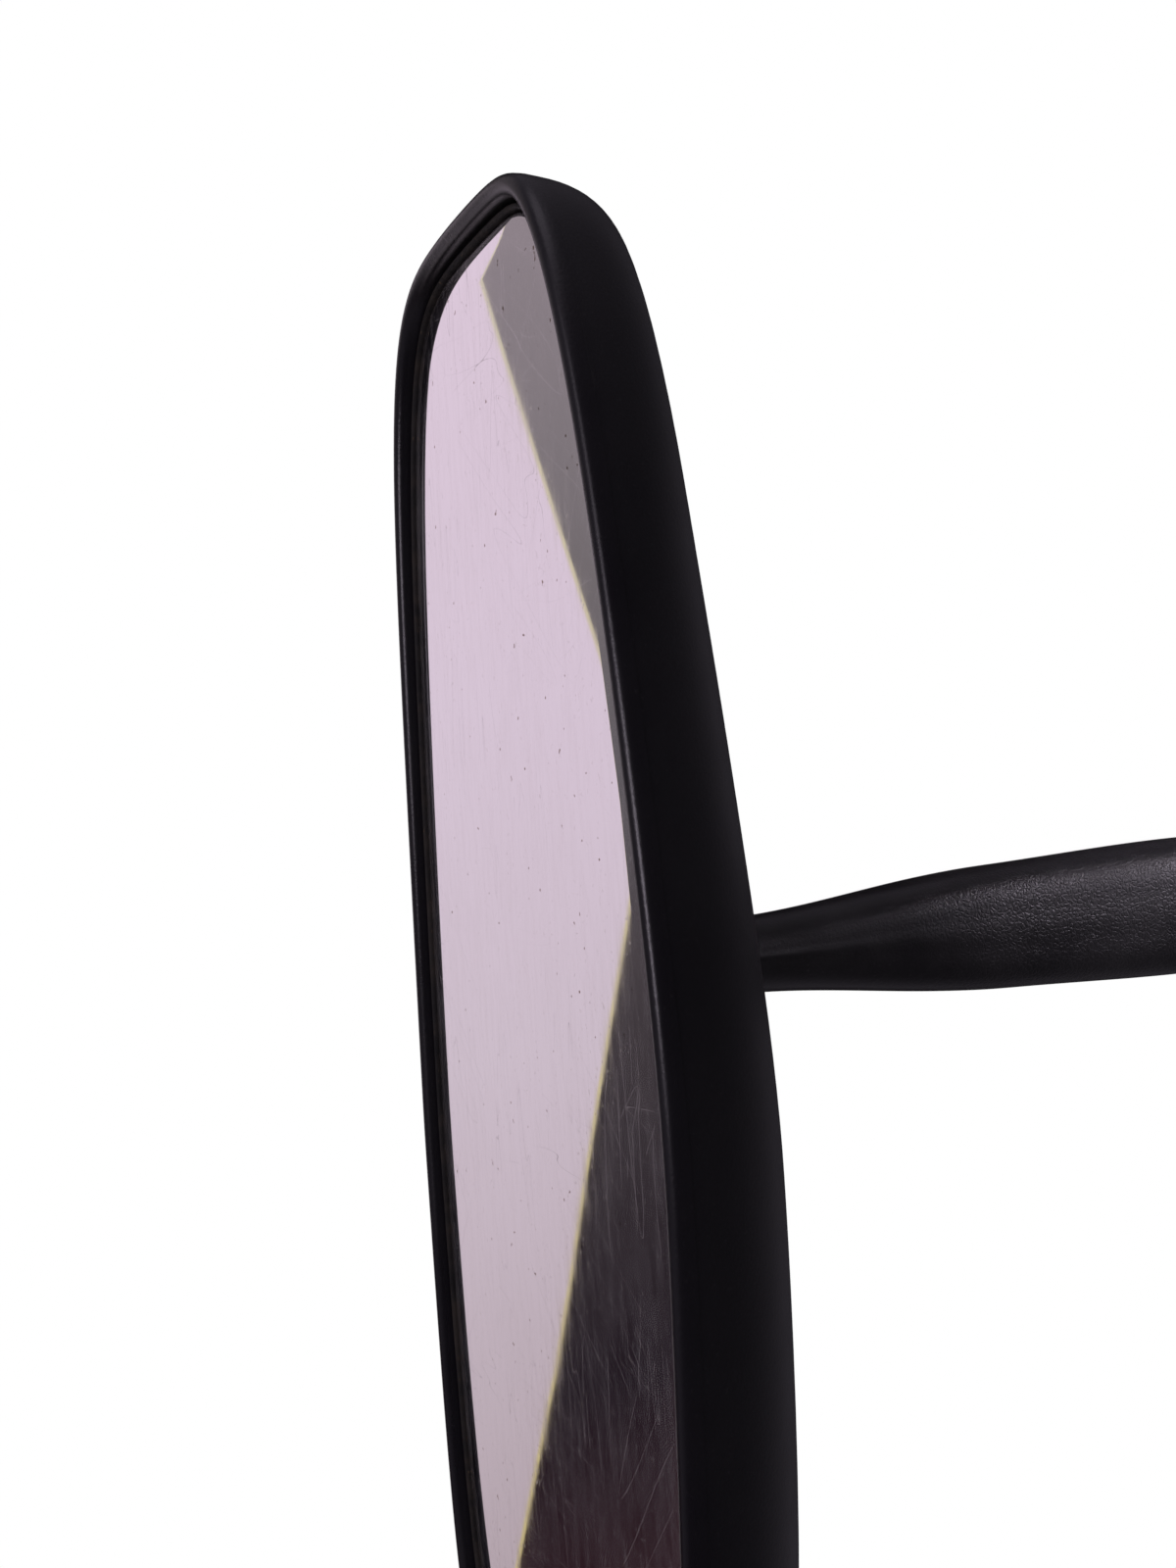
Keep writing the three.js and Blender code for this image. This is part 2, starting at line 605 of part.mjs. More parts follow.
place('housing_shell', housingShell(), blackShell);
place('mirror_glass', sheet(GLASS_RADIUS, GLASS_FRONT, GLASS_THICKNESS), mirrorGlass);
place('glass_gasket', glassGasket(), rubber);
place('foam_pad', foamPad(), foam);
place('glass_carrier', glassCarrier(), greyPlastic);
place('retainer_plate', retainerPlate(), greyPlastic);
screwPlaces().forEach((at, i) => place(`retainer_screw_${i + 1}`, retainerScrew(at), zincSteel));
place('ball_stud', ballStud(), zincSteel);
place('socket_liner', socketLiner(), nylon);
place('arm_sleeve', armSleeve(), blackSleeve);
place('arm_core', armCore(), zincSteel);
place('arm_knuckle', armKnuckle(), castBlack);
place('friction_washer_outboard', frictionWasher(1), nylon);
place('friction_washer_inboard', frictionWasher(-1), nylon);
place('clamp_saddle', clampSaddle(), castBlack);
place('clamp_cap', clampCap(), castBlack);
place('bar_shim_upper', barShim(1), rubber);
place('bar_shim_lower', barShim(-1), rubber);
place('clamp_bolt_front', clampBolt(1), zincSteel);
place('clamp_bolt_rear', clampBolt(-1), zincSteel);
place('clamp_nut_front', clampNut(1), zincSteel);
place('clamp_nut_rear', clampNut(-1), zincSteel);
place('pivot_bolt', pivotBolt(), zincSteel);
place('spring_washer', springWasher(), zincSteel);
place('pivot_nut', pivotNut(), zincSteel);

export default mirror;
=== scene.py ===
import json
from math import asin, atan2, cos, hypot, pi, radians, sin, sqrt, tanh

import bpy
from mathutils import Matrix, Vector


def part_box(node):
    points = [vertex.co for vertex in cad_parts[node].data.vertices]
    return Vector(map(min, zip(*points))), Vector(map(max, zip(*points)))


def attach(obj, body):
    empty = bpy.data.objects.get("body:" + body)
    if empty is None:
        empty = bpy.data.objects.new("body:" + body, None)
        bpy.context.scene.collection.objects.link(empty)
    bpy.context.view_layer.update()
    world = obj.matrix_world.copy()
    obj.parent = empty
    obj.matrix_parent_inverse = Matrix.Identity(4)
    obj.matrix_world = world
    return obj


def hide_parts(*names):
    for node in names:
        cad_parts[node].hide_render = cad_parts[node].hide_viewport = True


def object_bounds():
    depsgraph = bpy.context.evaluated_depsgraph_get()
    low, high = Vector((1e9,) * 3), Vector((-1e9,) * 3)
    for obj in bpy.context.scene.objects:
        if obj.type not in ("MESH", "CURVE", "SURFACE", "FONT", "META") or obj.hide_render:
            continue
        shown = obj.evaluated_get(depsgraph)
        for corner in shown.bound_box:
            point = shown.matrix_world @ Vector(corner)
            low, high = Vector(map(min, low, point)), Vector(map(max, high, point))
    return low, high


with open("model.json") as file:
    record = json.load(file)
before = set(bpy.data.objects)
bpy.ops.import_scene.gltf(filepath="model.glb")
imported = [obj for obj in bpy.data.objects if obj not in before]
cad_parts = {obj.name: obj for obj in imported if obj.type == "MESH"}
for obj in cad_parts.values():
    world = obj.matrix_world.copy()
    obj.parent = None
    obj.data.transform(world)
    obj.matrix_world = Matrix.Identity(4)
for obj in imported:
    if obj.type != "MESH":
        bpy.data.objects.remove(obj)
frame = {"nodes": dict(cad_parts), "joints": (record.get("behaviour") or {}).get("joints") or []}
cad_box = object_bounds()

bpy.ops.object.select_all(action="DESELECT")


# ---- Camera ------------
# It stands below and behind the head and looks up at it, nearly along the glass, with the
# picture's top towards the head's narrow end.

mm = 0.001
joints = {joint["name"]: joint for joint in frame["joints"]}
ball = Vector(joints["head_roll"]["pos_m"])
rim_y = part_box("housing_shell")[0].y

camera_tilt = radians(22)
camera_roll = radians(-3.83)
camera_from_neck = Vector((21.5, -56.3, -166.4)) * mm

forward = Vector((0, sin(camera_tilt), cos(camera_tilt)))
level_right = Vector((0, cos(camera_tilt), -sin(camera_tilt)))
level_up = Vector((1, 0, 0))
camera_right = level_right * cos(camera_roll) + level_up * sin(camera_roll)
camera_up = level_up * cos(camera_roll) - level_right * sin(camera_roll)

camera = bpy.data.objects.new("camera", bpy.data.cameras.new("camera"))
bpy.context.scene.collection.objects.link(camera)
camera.data.sensor_width = 36
camera.data.lens = 36
camera.data.clip_start = 5 * mm
camera.location = Vector((ball.x, rim_y, ball.z)) + camera_from_neck
camera.rotation_euler = Matrix((camera_right, camera_up, -forward)).transposed().to_euler()
bpy.context.scene.camera = camera
bpy.context.scene.view_settings.view_transform = "Standard"


# ---- Housing shell ------------
# The head's bowl, injection moulded in black plastic with a fine spark-eroded grain. Its edge
# rolls over into a smoother lip, and its back has a shallow round dish about the neck.

head_tip = 87 * mm
head_root = -104 * mm
head_middle = (head_tip + head_root) / 2
half_length = (head_tip - head_root) / 2
# Above and below the neck: half width where widest, where that is, what is lost 100 mm on
# towards the tip, the power of that loss, and the loss towards the wide end.
upper_edge = (41.8 * mm, -24 * mm, 5.6 * mm, 1.1, 1 * mm)
lower_edge = (40.3 * mm, -12 * mm, 15.5 * mm, 1.4, 9 * mm)
squareness = 5.5
edge = 40 * mm
bowl_band = 5 * mm
bowl_depth = 21.3 * mm
depth_skew = 0.07
skew_span = 40 * mm
tip_loss = 0.2
tip_shoulder = 0.85
tip_from = 35 * mm
tip_to = 75 * mm
tip_crown = 2.5
crown_at = 5 * mm
wall = 2.4 * mm
lip_width = 2.4 * mm
lip_round = lip_width / 2
dish_radius = 29 * mm
dish_depth = 1.3 * mm
dish_round = 0.5 * mm
aperture_radius = 7.6 * mm
ball_depth = ball.y - rim_y
seat_radius = 8.3 * mm
boss_radius = 11 * mm
retainer_screw_circle = 13
screw_boss = (15.3, 3.4)
carrier_post = (7.7, 3)
post_places = [(52, 20), (52, -20), (-70, 24), (-70, -24)]
boss_foot = ball_depth + 0.3 * mm
housing_sides = 128


def half_width_at(x, side):
    width, widest_at, tip_taper, power, root_taper = side
    away = (x - widest_at) / (100 * mm)
    return width - (tip_taper if away > 0 else root_taper) * abs(away) ** power


def signed_power(value, exponent):
    return abs(value) ** exponent * (1 if value >= 0 else -1)


def outline_at(turn, inset):
    """A point of the head's outline, (x, z) from the neck's axis, moved in by inset."""
    quarter = turn / (pi / 2)
    whole = quarter // 1
    part = quarter - whole
    spread = part ** 2 / (part ** 2 + (1 - part) ** 2)
    angle = (whole + spread) * pi / 2
    x = head_middle + (half_length - inset) * signed_power(cos(angle), 2 / squareness)
    side = upper_edge if sin(angle) > 0 else lower_edge
    z = (half_width_at(x, side) - inset) * signed_power(sin(angle), 2 / squareness)
    return x, z


def radius_through(x, z, band):
    """The profile radius, 0 in the middle and `edge` at the outline, of the ring through (x, z)."""
    low, high = 0.0, edge * 1.1
    for _ in range(26):
        radius = (low + high) / 2
        inset = min(edge - radius, band)
        share = min(1, radius / (edge - band))
        ring_x = (x - head_middle) / share + head_middle
        ring_z = z / share
        reach = abs((ring_x - head_middle) / (half_length - inset)) ** squareness
        side = upper_edge if z > 0 else lower_edge
        reach += abs(ring_z / (half_width_at(ring_x, side) - inset)) ** squareness
        low, high = (radius, high) if reach > 1 else (low, radius)
    return (low + high) / 2


def smoothstep(value, low, high):
    share = min(1, max(0, (value - low) / (high - low)))
    return share * share * (3 - 2 * share)


def crowned(x, z):
    """The narrow end falls away a little from its highest place."""
    return x - tip_crown * (z - crown_at) ** 2 * max(0, x / head_tip) ** 6


def bowl_depth_at(x, z, lost=0.0, outline=edge, fullness=2.5):
    """Depth of the bowl's outer wall, or with `lost` of its inner wall, in front of the rim."""
    share = min(1.0, radius_through(x, z, bowl_band) / outline)
    plain = (bowl_depth - lost) * (1 - share ** fullness) ** (1 / fullness)
    tip = smoothstep(x, tip_from, tip_to)
    kept = 1 - depth_skew * tanh(x / skew_span) - tip_loss * tip
    return plain * kept * (1 + tip_shoulder * tip * (1 - plain / bowl_depth))


def edit_whole():
    bpy.ops.object.mode_set(mode="EDIT")
    bpy.ops.mesh.select_all(action="SELECT")


def loft(name, rings, sides, place, looped=False):
    """Draws a circle out ring after ring, then sets each corner down at place(ring, turn)."""
    bpy.ops.mesh.primitive_circle_add(vertices=sides, radius=1)
    piece = bpy.context.object
    piece.name = name
    edit_whole()
    for _ in range(rings - 1):
        bpy.ops.mesh.extrude_region_move(TRANSFORM_OT_translate={"value": (0, 0, 1)})
    if looped:
        bpy.ops.mesh.select_all(action="SELECT")
        bpy.ops.mesh.region_to_loop()
        bpy.ops.mesh.bridge_edge_loops()
    bpy.ops.object.mode_set(mode="OBJECT")
    for corner in piece.data.vertices:
        turn = atan2(corner.co.y, corner.co.x) % (2 * pi)
        corner.co = place(round(corner.co.z), turn)
    face_outwards(piece)
    return piece


def face_outwards(piece):
    bpy.context.view_layer.objects.active = piece
    edit_whole()
    bpy.ops.mesh.remove_doubles(threshold=1e-6)
    bpy.ops.mesh.normals_make_consistent(inside=False)
    bpy.ops.object.mode_set(mode="OBJECT")


def apply_modifier(piece, kind, **settings):
    bpy.context.view_layer.objects.active = piece
    modifier = piece.modifiers.new(kind.lower(), kind)
    for setting, value in settings.items():
        setattr(modifier, setting, value)
    bpy.ops.object.modifier_apply(modifier=modifier.name)


def finish_piece(piece, body, node, material, angle=35):
    """Smooths the piece across edges under `angle` degrees, then paints it and hangs it up."""
    bpy.ops.object.select_all(action="DESELECT")
    piece.select_set(True)
    bpy.context.view_layer.objects.active = piece
    bpy.ops.object.shade_smooth_by_angle(angle=radians(angle))
    bpy.ops.object.select_all(action="DESELECT")
    piece.data.materials.clear()
    piece.data.materials.append(material)
    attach(piece, body)
    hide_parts(node)


def on_spoke(turn, radius):
    """A point at `radius` from the neck's axis, towards the outline's point at `turn`."""
    x, z = outline_at(turn, 0)
    share = radius / hypot(x, z)
    return x * share, z * share


def housing_rings():
    """Every ring of the moulding, from the aperture out over the back and lip and in again.
    Each is a function from the turn to (x, depth, z)."""
    rings = []

    def about_neck(radius, depth_of):
        rings.append(lambda turn: (*on_spoke(turn, radius), depth_of))

    def floor(x, z):
        return bowl_depth_at(x, z) - dish_depth

    def over_back(radius, share, depth_at):
        def ring(turn):
            edge_x, edge_z = outline_at(turn, 0)
            start = radius / hypot(edge_x, edge_z)
            reach = start + (1 - start) * share
            x, z = edge_x * reach, edge_z * reach
            return x, z, depth_at
        rings.append(ring)

    def inset_ring(inset, depth):
        rings.append(lambda turn: (*outline_at(turn, inset), lambda x, z: depth))

    middle_floor = bowl_depth_at(0, 0) - dish_depth
    about_neck(aperture_radius, lambda x, z: middle_floor - 0.9 * mm)
    about_neck(aperture_radius + 0.2 * mm, lambda x, z: floor(x, z) - 0.3 * mm)
    about_neck(aperture_radius + 0.8 * mm, floor)
    for share in (0.35, 0.7):
        radius = aperture_radius + (dish_radius - aperture_radius) * share
        about_neck(radius, floor)
    about_neck(dish_radius - 2.4 * dish_round, floor)
    about_neck(dish_radius - dish_round, floor)
    about_neck(dish_radius - 0.2 * dish_round, lambda x, z: floor(x, z) + 0.3 * dish_depth)
    about_neck(dish_radius + 0.2 * dish_round, lambda x, z: floor(x, z) + 0.85 * dish_depth)
    about_neck(dish_radius + dish_round, bowl_depth_at)
    steps = 16
    for step in range(1, steps + 1):
        share = 1 - (1 - step / (steps + 1)) ** 2.5
        over_back(dish_radius + 1.6 * dish_round, share, bowl_depth_at)
    inset_ring(0, 2.6 * mm)
    for step in range(7):
        turn = pi * step / 6
        inset_ring(lip_round * (1 - cos(turn)), lip_round * (1 - sin(turn)))
    inset_ring(lip_width + 0.15 * mm, 2.8 * mm)
    inset_ring(lip_width + 0.35 * mm, 4.2 * mm)

    def inner(x, z):
        return bowl_depth_at(x, z, wall, edge - lip_width, 3)

    for share in (0.96, 0.9, 0.8, 0.65, 0.45, 0.22, 0.0):
        over_back(boss_radius, share, inner)
    about_neck(boss_radius, lambda x, z: boss_foot + 0.4 * mm)
    about_neck(boss_radius - 0.4 * mm, lambda x, z: boss_foot)
    seat_edge = sqrt(seat_radius ** 2 - (boss_foot - ball_depth) ** 2)
    about_neck(seat_edge + 0.3 * mm, lambda x, z: boss_foot)
    seat_top = asin(aperture_radius / seat_radius)
    for step in range(5):
        angle = pi / 2 + (seat_top - pi / 2) * step / 4
        depth = max(boss_foot, ball_depth + seat_radius * cos(angle))
        about_neck(seat_radius * sin(angle), lambda x, z, depth=depth: depth)
    return rings


rings = housing_rings()


def place_in_housing(ring, turn):
    x, z, depth_at = rings[ring](turn)
    return Vector((crowned(x, z), rim_y + depth_at(x, z), ball.z + z))


housing = loft("housing", len(rings), housing_sides, place_in_housing, looped=True)
apply_modifier(housing, "SUBSURF", levels=1, render_levels=1)

screw_turns = [radians(90 + 120 * i) for i in range(3)]
screw_places = [(retainer_screw_circle * cos(turn), retainer_screw_circle * sin(turn))
                for turn in screw_turns]
bosses = [(place, *screw_boss) for place in screw_places]
bosses += [(place, *carrier_post) for place in post_places]
for place, foot, radius in bosses:
    x, z = Vector(place) * mm
    top = bowl_depth_at(x, z) - wall / 2
    foot *= mm
    bpy.ops.mesh.primitive_cylinder_add(
        vertices=32, radius=radius * mm, depth=top - foot, rotation=(pi / 2, 0, 0),
        location=(x, rim_y + (top + foot) / 2, ball.z + z))
    boss = bpy.context.object
    bpy.ops.object.transform_apply(location=True, rotation=True, scale=True)
    apply_modifier(boss, "BEVEL", width=0.35 * mm, segments=2)
    bpy.ops.object.select_all(action="DESELECT")
    boss.select_set(True)
    housing.select_set(True)
    bpy.context.view_layer.objects.active = housing
    bpy.ops.object.join()


def node_group(name, inputs, outputs):
    """An empty shader group, with the sockets that feed it and those that it gives out."""
    group = bpy.data.node_groups.new(name, "ShaderNodeTree")
    for socket, kind, value in inputs:
        made = group.interface.new_socket(socket, in_out="INPUT", socket_type=kind)
        if value is not None:
            made.default_value = value
    for socket, kind in outputs:
        group.interface.new_socket(socket, in_out="OUTPUT", socket_type=kind)
    given = group.nodes.new("NodeGroupInput").outputs
    return group, given, group.nodes.new("NodeGroupOutput").inputs


NUMBER, VECTOR = "NodeSocketFloat", "NodeSocketVector"


def wire(tree, source, target):
    tree.links.new(source, target)


def noise(tree, where, scale, detail=4, roughness=0.55):
    made = tree.nodes.new("ShaderNodeTexNoise")
    made.inputs["Detail"].default_value = detail
    made.inputs["Roughness"].default_value = roughness
    wire(tree, where, made.inputs["Vector"])
    if isinstance(scale, (int, float)):
        made.inputs["Scale"].default_value = scale
    else:
        wire(tree, scale, made.inputs["Scale"])
    return made.outputs["Fac"]


def maths(tree, operation, first, second=0.0, clamp=False):
    made = tree.nodes.new("ShaderNodeMath")
    made.operation = operation
    made.use_clamp = clamp
    for socket, value in zip(made.inputs, (first, second)):
        if isinstance(value, (int, float)):
            socket.default_value = value
        else:
            wire(tree, value, socket)
    return made.outputs[0]


def ranged(tree, value, low, high, to_low=0.0, to_high=1.0):
    made = tree.nodes.new("ShaderNodeMapRange")
    for socket, number in (("From Min", low), ("From Max", high),
                           ("To Min", to_low), ("To Max", to_high)):
        if isinstance(number, (int, float)):
            made.inputs[socket].default_value = number
        else:
            wire(tree, number, made.inputs[socket])
    wire(tree, value, made.inputs["Value"])
    return made.outputs["Result"]


def mixed(tree, share, first, second):
    made = tree.nodes.new("ShaderNodeMix")
    made.data_type = "RGBA"
    for socket, value in zip((made.inputs[0], made.inputs[6], made.inputs[7]),
                             (share, first, second)):
        if isinstance(value, (int, float, tuple)):
            socket.default_value = value
        else:
            wire(tree, value, socket)
    return made.outputs[2]


def stretched(tree, where, scale, rotation=(0, 0, 0)):
    made = tree.nodes.new("ShaderNodeMapping")
    made.inputs["Scale"].default_value = scale
    made.inputs["Rotation"].default_value = rotation
    wire(tree, where, made.inputs["Vector"])
    return made.outputs["Vector"]


def object_place(tree):
    return tree.nodes.new("ShaderNodeTexCoord").outputs["Object"]


# Fine grain pressed into a moulding by its tool, with soft clouds where the gloss differs.
moulded_grain, given, made = node_group(
    "moulded_grain",
    [("Place", VECTOR, None), ("Grain Scale", NUMBER, 3000.0), ("Cloud Scale", NUMBER, 40.0)],
    [("Height", NUMBER), ("Cloud", NUMBER)])
fine = noise(moulded_grain, given["Place"], given["Grain Scale"], 3, 0.6)
broad = noise(moulded_grain, given["Place"], given["Cloud Scale"], 5, 0.6)
wire(moulded_grain, ranged(moulded_grain, fine, 0.3, 0.7), made["Height"])
wire(moulded_grain, ranged(moulded_grain, broad, 0.35, 0.65), made["Cloud"])

# Grey dust that settles in patches and thin specks.
dust, given, made = node_group(
    "dust",
    [("Place", VECTOR, None), ("Patch Scale", NUMBER, 60.0), ("Speck Scale", NUMBER, 2500.0),
     ("Amount", NUMBER, 0.2)],
    [("Mask", NUMBER)])
patches = noise(dust, given["Place"], given["Patch Scale"], 6, 0.65)
specks = noise(dust, given["Place"], given["Speck Scale"], 2, 0.5)
patches = ranged(dust, patches, 0.42, 0.72)
specks = ranged(dust, specks, 0.66, 0.74)
both = maths(dust, "ADD", maths(dust, "MULTIPLY", patches, 0.35), specks, clamp=True)
wire(dust, maths(dust, "MULTIPLY", both, given["Amount"]), made["Mask"])

# Hairline scratches: thin level lines of stretched noise, in three directions.
scratches, given, made = node_group(
    "scratches",
    [("Place", VECTOR, None), ("Scale", NUMBER, 60.0), ("Thinness", NUMBER, 0.004)],
    [("Mask", NUMBER)])
total = None
for tilt, shape in ((0.35, (1, 1, 9)), (1.25, (1, 1, 14)), (-0.5, (8, 1, 1))):
    along = stretched(scratches, given["Place"], shape, (0, tilt, 0))
    level = noise(scratches, along, given["Scale"], 1, 0.4)
    away = maths(scratches, "ABSOLUTE", maths(scratches, "SUBTRACT", level, 0.5))
    line = maths(scratches, "LESS_THAN", away, given["Thinness"])
    where = noise(scratches, given["Place"], 45 + 30 * abs(tilt), 2, 0.5)
    line = maths(scratches, "MULTIPLY", line, ranged(scratches, where, 0.52, 0.6))
    total = line if total is None else maths(scratches, "MAXIMUM", total, line)
wire(scratches, total, made["Mask"])

# Bright worn corners: where the bevelled normal leaves the face's own.
edge_wear, given, made = node_group(
    "edge_wear",
    [("Place", VECTOR, None), ("Width", NUMBER, 0.0006), ("Patch Scale", NUMBER, 300.0)],
    [("Mask", NUMBER)])
geometry = edge_wear.nodes.new("ShaderNodeNewGeometry")
bevel = edge_wear.nodes.new("ShaderNodeBevel")
bevel.samples = 4
wire(edge_wear, given["Width"], bevel.inputs["Radius"])
turned_away = edge_wear.nodes.new("ShaderNodeVectorMath")
turned_away.operation = "DOT_PRODUCT"
wire(edge_wear, geometry.outputs["Normal"], turned_away.inputs[0])
wire(edge_wear, bevel.outputs["Normal"], turned_away.inputs[1])
worn = ranged(edge_wear, turned_away.outputs["Value"], 0.985, 0.9)
patchy = noise(edge_wear, given["Place"], given["Patch Scale"], 4, 0.6)
worn = maths(edge_wear, "MULTIPLY", worn, ranged(edge_wear, patchy, 0.45, 0.6))
wire(edge_wear, worn, made["Mask"])


def new_material(name, roughness=0.5, metallic=0.0, **sockets):
    made = bpy.data.materials.new(name)
    made.use_nodes = True
    shader = made.node_tree.nodes["Principled BSDF"]
    shader.inputs["Roughness"].default_value = roughness
    shader.inputs["Metallic"].default_value = metallic
    for socket, value in sockets.items():
        shader.inputs[socket.replace("_", " ")].default_value = value
    return made, made.node_tree, shader


def placed(tree, group, **inputs):
    """A group set in a material, reading the piece's own place unless it is given another."""
    node = tree.nodes.new("ShaderNodeGroup")
    node.node_tree = group
    inputs.setdefault("Place", object_place(tree))
    for socket, value in inputs.items():
        target = node.inputs[socket.replace("_", " ")]
        if isinstance(value, (int, float)):
            target.default_value = value
        else:
            wire(tree, value, target)
    return node.outputs


def bumped(tree, shader, height, distance, strength=1.0):
    made = tree.nodes.new("ShaderNodeBump")
    made.inputs["Distance"].default_value = distance
    made.inputs["Strength"].default_value = strength
    wire(tree, height, made.inputs["Height"])
    wire(tree, made.outputs["Normal"], shader.inputs["Normal"])


def black_moulding(name, dark, pale, grain_scale, grain_depth, roughness, dusty, polish=None):
    """Black plastic: tool grain, cloudy gloss and a little dust. `polish` is (y, y, loss): the
    roughness lost in front of the first y, which is back by the second."""
    made, tree, shader = new_material(name, Specular_IOR_Level=0.4)
    grain = placed(tree, moulded_grain, Grain_Scale=grain_scale, Cloud_Scale=35.0)
    settled = placed(tree, dust, Amount=dusty)
    colour = mixed(tree, grain["Cloud"], dark, pale)
    colour = mixed(tree, settled["Mask"], colour, (0.16, 0.145, 0.15, 1))
    wire(tree, colour, shader.inputs["Base Color"])
    gloss = ranged(tree, grain["Cloud"], 0, 1, roughness - 0.04, roughness + 0.05)
    gloss = maths(tree, "ADD", gloss, maths(tree, "MULTIPLY", settled["Mask"], 0.4), clamp=True)
    if polish:
        axes = tree.nodes.new("ShaderNodeSeparateXYZ")
        wire(tree, object_place(tree), axes.inputs["Vector"])
        lost = ranged(tree, axes.outputs["Y"], polish[0], polish[1], polish[2], 0.0)
        gloss = maths(tree, "SUBTRACT", gloss, lost, clamp=True)
    wire(tree, gloss, shader.inputs["Roughness"])
    bumped(tree, shader, grain["Height"], grain_depth)
    return made


shell_black = black_moulding("shell_black_plastic", (0.0036, 0.0029, 0.0047, 1),
                             (0.0046, 0.0037, 0.0058, 1), 2600.0, 0.010 * mm, 0.44, 0.02,
                             polish=(rim_y + 0.8 * mm, rim_y + 3.5 * mm, 0.16))
finish_piece(housing, "head", "housing_shell", shell_black)


# ---- Mirror glass ------------
# Nearly flat glass, silvered, 2 mm thick with a ground edge. Years of wiping have left
# hairlines, dust and a few brown specks on it.

glass_curve = 9.0
glass_band = 7 * mm
glass_front = 1.8 * mm
glass_thickness = 2 * mm
gasket_outer = edge - lip_width - 0.5 * mm
glass_radius = gasket_outer - 0.9 * mm


def along_glass(radius, depth, turn):
    """A point of a piece that follows the glass: profile radius, depth behind the rim, turn."""
    x, z = outline_at(turn, min(edge - radius, glass_band))
    share = min(1, radius / (edge - glass_band))
    x = head_middle + (x - head_middle) * share
    z *= share
    sag = ((x - head_middle) ** 2 + z ** 2) / (2 * glass_curve)
    return Vector((crowned(x, z), rim_y + depth + sag, ball.z + z))


def follow_glass(name, profile, looped=True):
    def place(ring, turn):
        radius, depth = profile[ring]
        return along_glass(radius * mm, depth * mm, turn)
    return loft(name, len(profile), 128, place, looped=looped)


rim = glass_radius / mm
front = glass_front / mm
back = front + glass_thickness / mm
glass_profile = ([(r, front) for r in (0, 6, 12, 18, 24, 29, 32.6, rim - 0.5)]
                 + [(rim - 0.25, front + 0.06), (rim, front + 0.3), (rim, back - 0.2)]
                 + [(r, back) for r in (rim - 0.2, 32, 24, 16, 8, 0)])
glass = follow_glass("glass", glass_profile, looped=False)

mirror_silver, tree, shader = new_material("mirror_silver", 0.02, 1.0)
place = object_place(tree)
hairlines = placed(tree, scratches, Place=place, Scale=30.0, Thinness=0.0006)
scuffs = placed(tree, scratches, Place=stretched(tree, place, (0.35, 0.35, 0.35), (0.4, 0.9, 0.2)),
                Scale=40.0, Thinness=0.0002)
film = placed(tree, dust, Place=place, Patch_Scale=48.0, Speck_Scale=1500.0, Amount=1.0)
streaks = noise(tree, stretched(tree, place, (150, 150, 800), (0, 0.45, 0)), 1.0, 4, 0.65)
streaks = ranged(tree, streaks, 0.42, 0.75)
marks = maths(tree, "MAXIMUM", hairlines["Mask"], scuffs["Mask"])
soil = maths(tree, "ADD", maths(tree, "MULTIPLY", film["Mask"], 0.3),
             maths(tree, "MULTIPLY", streaks, 0.16), clamp=True)
silver = mixed(tree, soil, (0.86, 0.83, 0.85, 1), (0.66, 0.6, 0.6, 1))
brown = ranged(tree, noise(tree, place, 900.0, 2, 0.5), 0.71, 0.74)
silver = mixed(tree, brown, silver, (0.2, 0.13, 0.09, 1))
silver = mixed(tree, maths(tree, "MULTIPLY", marks, 0.22), silver, (0.3, 0.27, 0.29, 1))
wire(tree, silver, shader.inputs["Base Color"])
matt = maths(tree, "ADD", maths(tree, "MULTIPLY", soil, 0.16),
             maths(tree, "MULTIPLY", marks, 0.15), clamp=True)
wire(tree, maths(tree, "ADD", matt, 0.015), shader.inputs["Roughness"])
wire(tree, maths(tree, "SUBTRACT", 1.0, maths(tree, "MULTIPLY", soil, 0.3)),
     shader.inputs["Metallic"])
bumped(tree, shader, maths(tree, "SUBTRACT", 1.0, marks), 0.004 * mm, 0.4)
finish_piece(glass, "head", "mirror_glass", mirror_silver, 50)


# ---- Gasket ------------
# Soft black rubber that holds the glass in the bowl. Brown dirt has packed into the channel
# between it and the lip.

outer = gasket_outer / mm
inner_lip = rim + 0.3
seat = back + 0.3
gasket = follow_glass("gasket", [
    (inner_lip, seat), (inner_lip, front + 0.05), (inner_lip + 0.08, front - 0.28),
    (inner_lip + 0.2, front - 0.4), (outer - 0.2, front - 0.4), (outer - 0.05, front - 0.3),
    (outer, front), (outer, back - 0.6), (outer - 1.2, seat + 0.8), (rim - 1.6, seat + 0.8),
    (rim - 1.6, seat)])

gasket_rubber, tree, shader = new_material("gasket_rubber", 0.7, Specular_IOR_Level=0.25)
grain = placed(tree, moulded_grain, Grain_Scale=1800.0, Cloud_Scale=120.0)
dirt = placed(tree, dust, Patch_Scale=260.0, Speck_Scale=1900.0, Amount=1.0)
colour = mixed(tree, grain["Cloud"], (0.0035, 0.003, 0.0035, 1), (0.008, 0.0065, 0.0065, 1))
colour = mixed(tree, dirt["Mask"], colour, (0.05, 0.034, 0.022, 1))
wire(tree, colour, shader.inputs["Base Color"])
wire(tree, ranged(tree, dirt["Mask"], 0, 1, 0.6, 0.92), shader.inputs["Roughness"])
bumped(tree, shader, grain["Height"], 0.03 * mm)
finish_piece(gasket, "head", "glass_gasket", gasket_rubber, 40)


# ---- Inside the head ------------
# The foam pad, the carrier plate, the lower half of the ball socket with its three screws
# and the nylon seat are plain pieces that only show when the head is taken apart.

def dress(nodes, material):
    for name in nodes:
        piece = frame["nodes"][name]
        piece.data.materials.clear()
        piece.data.materials.append(material)


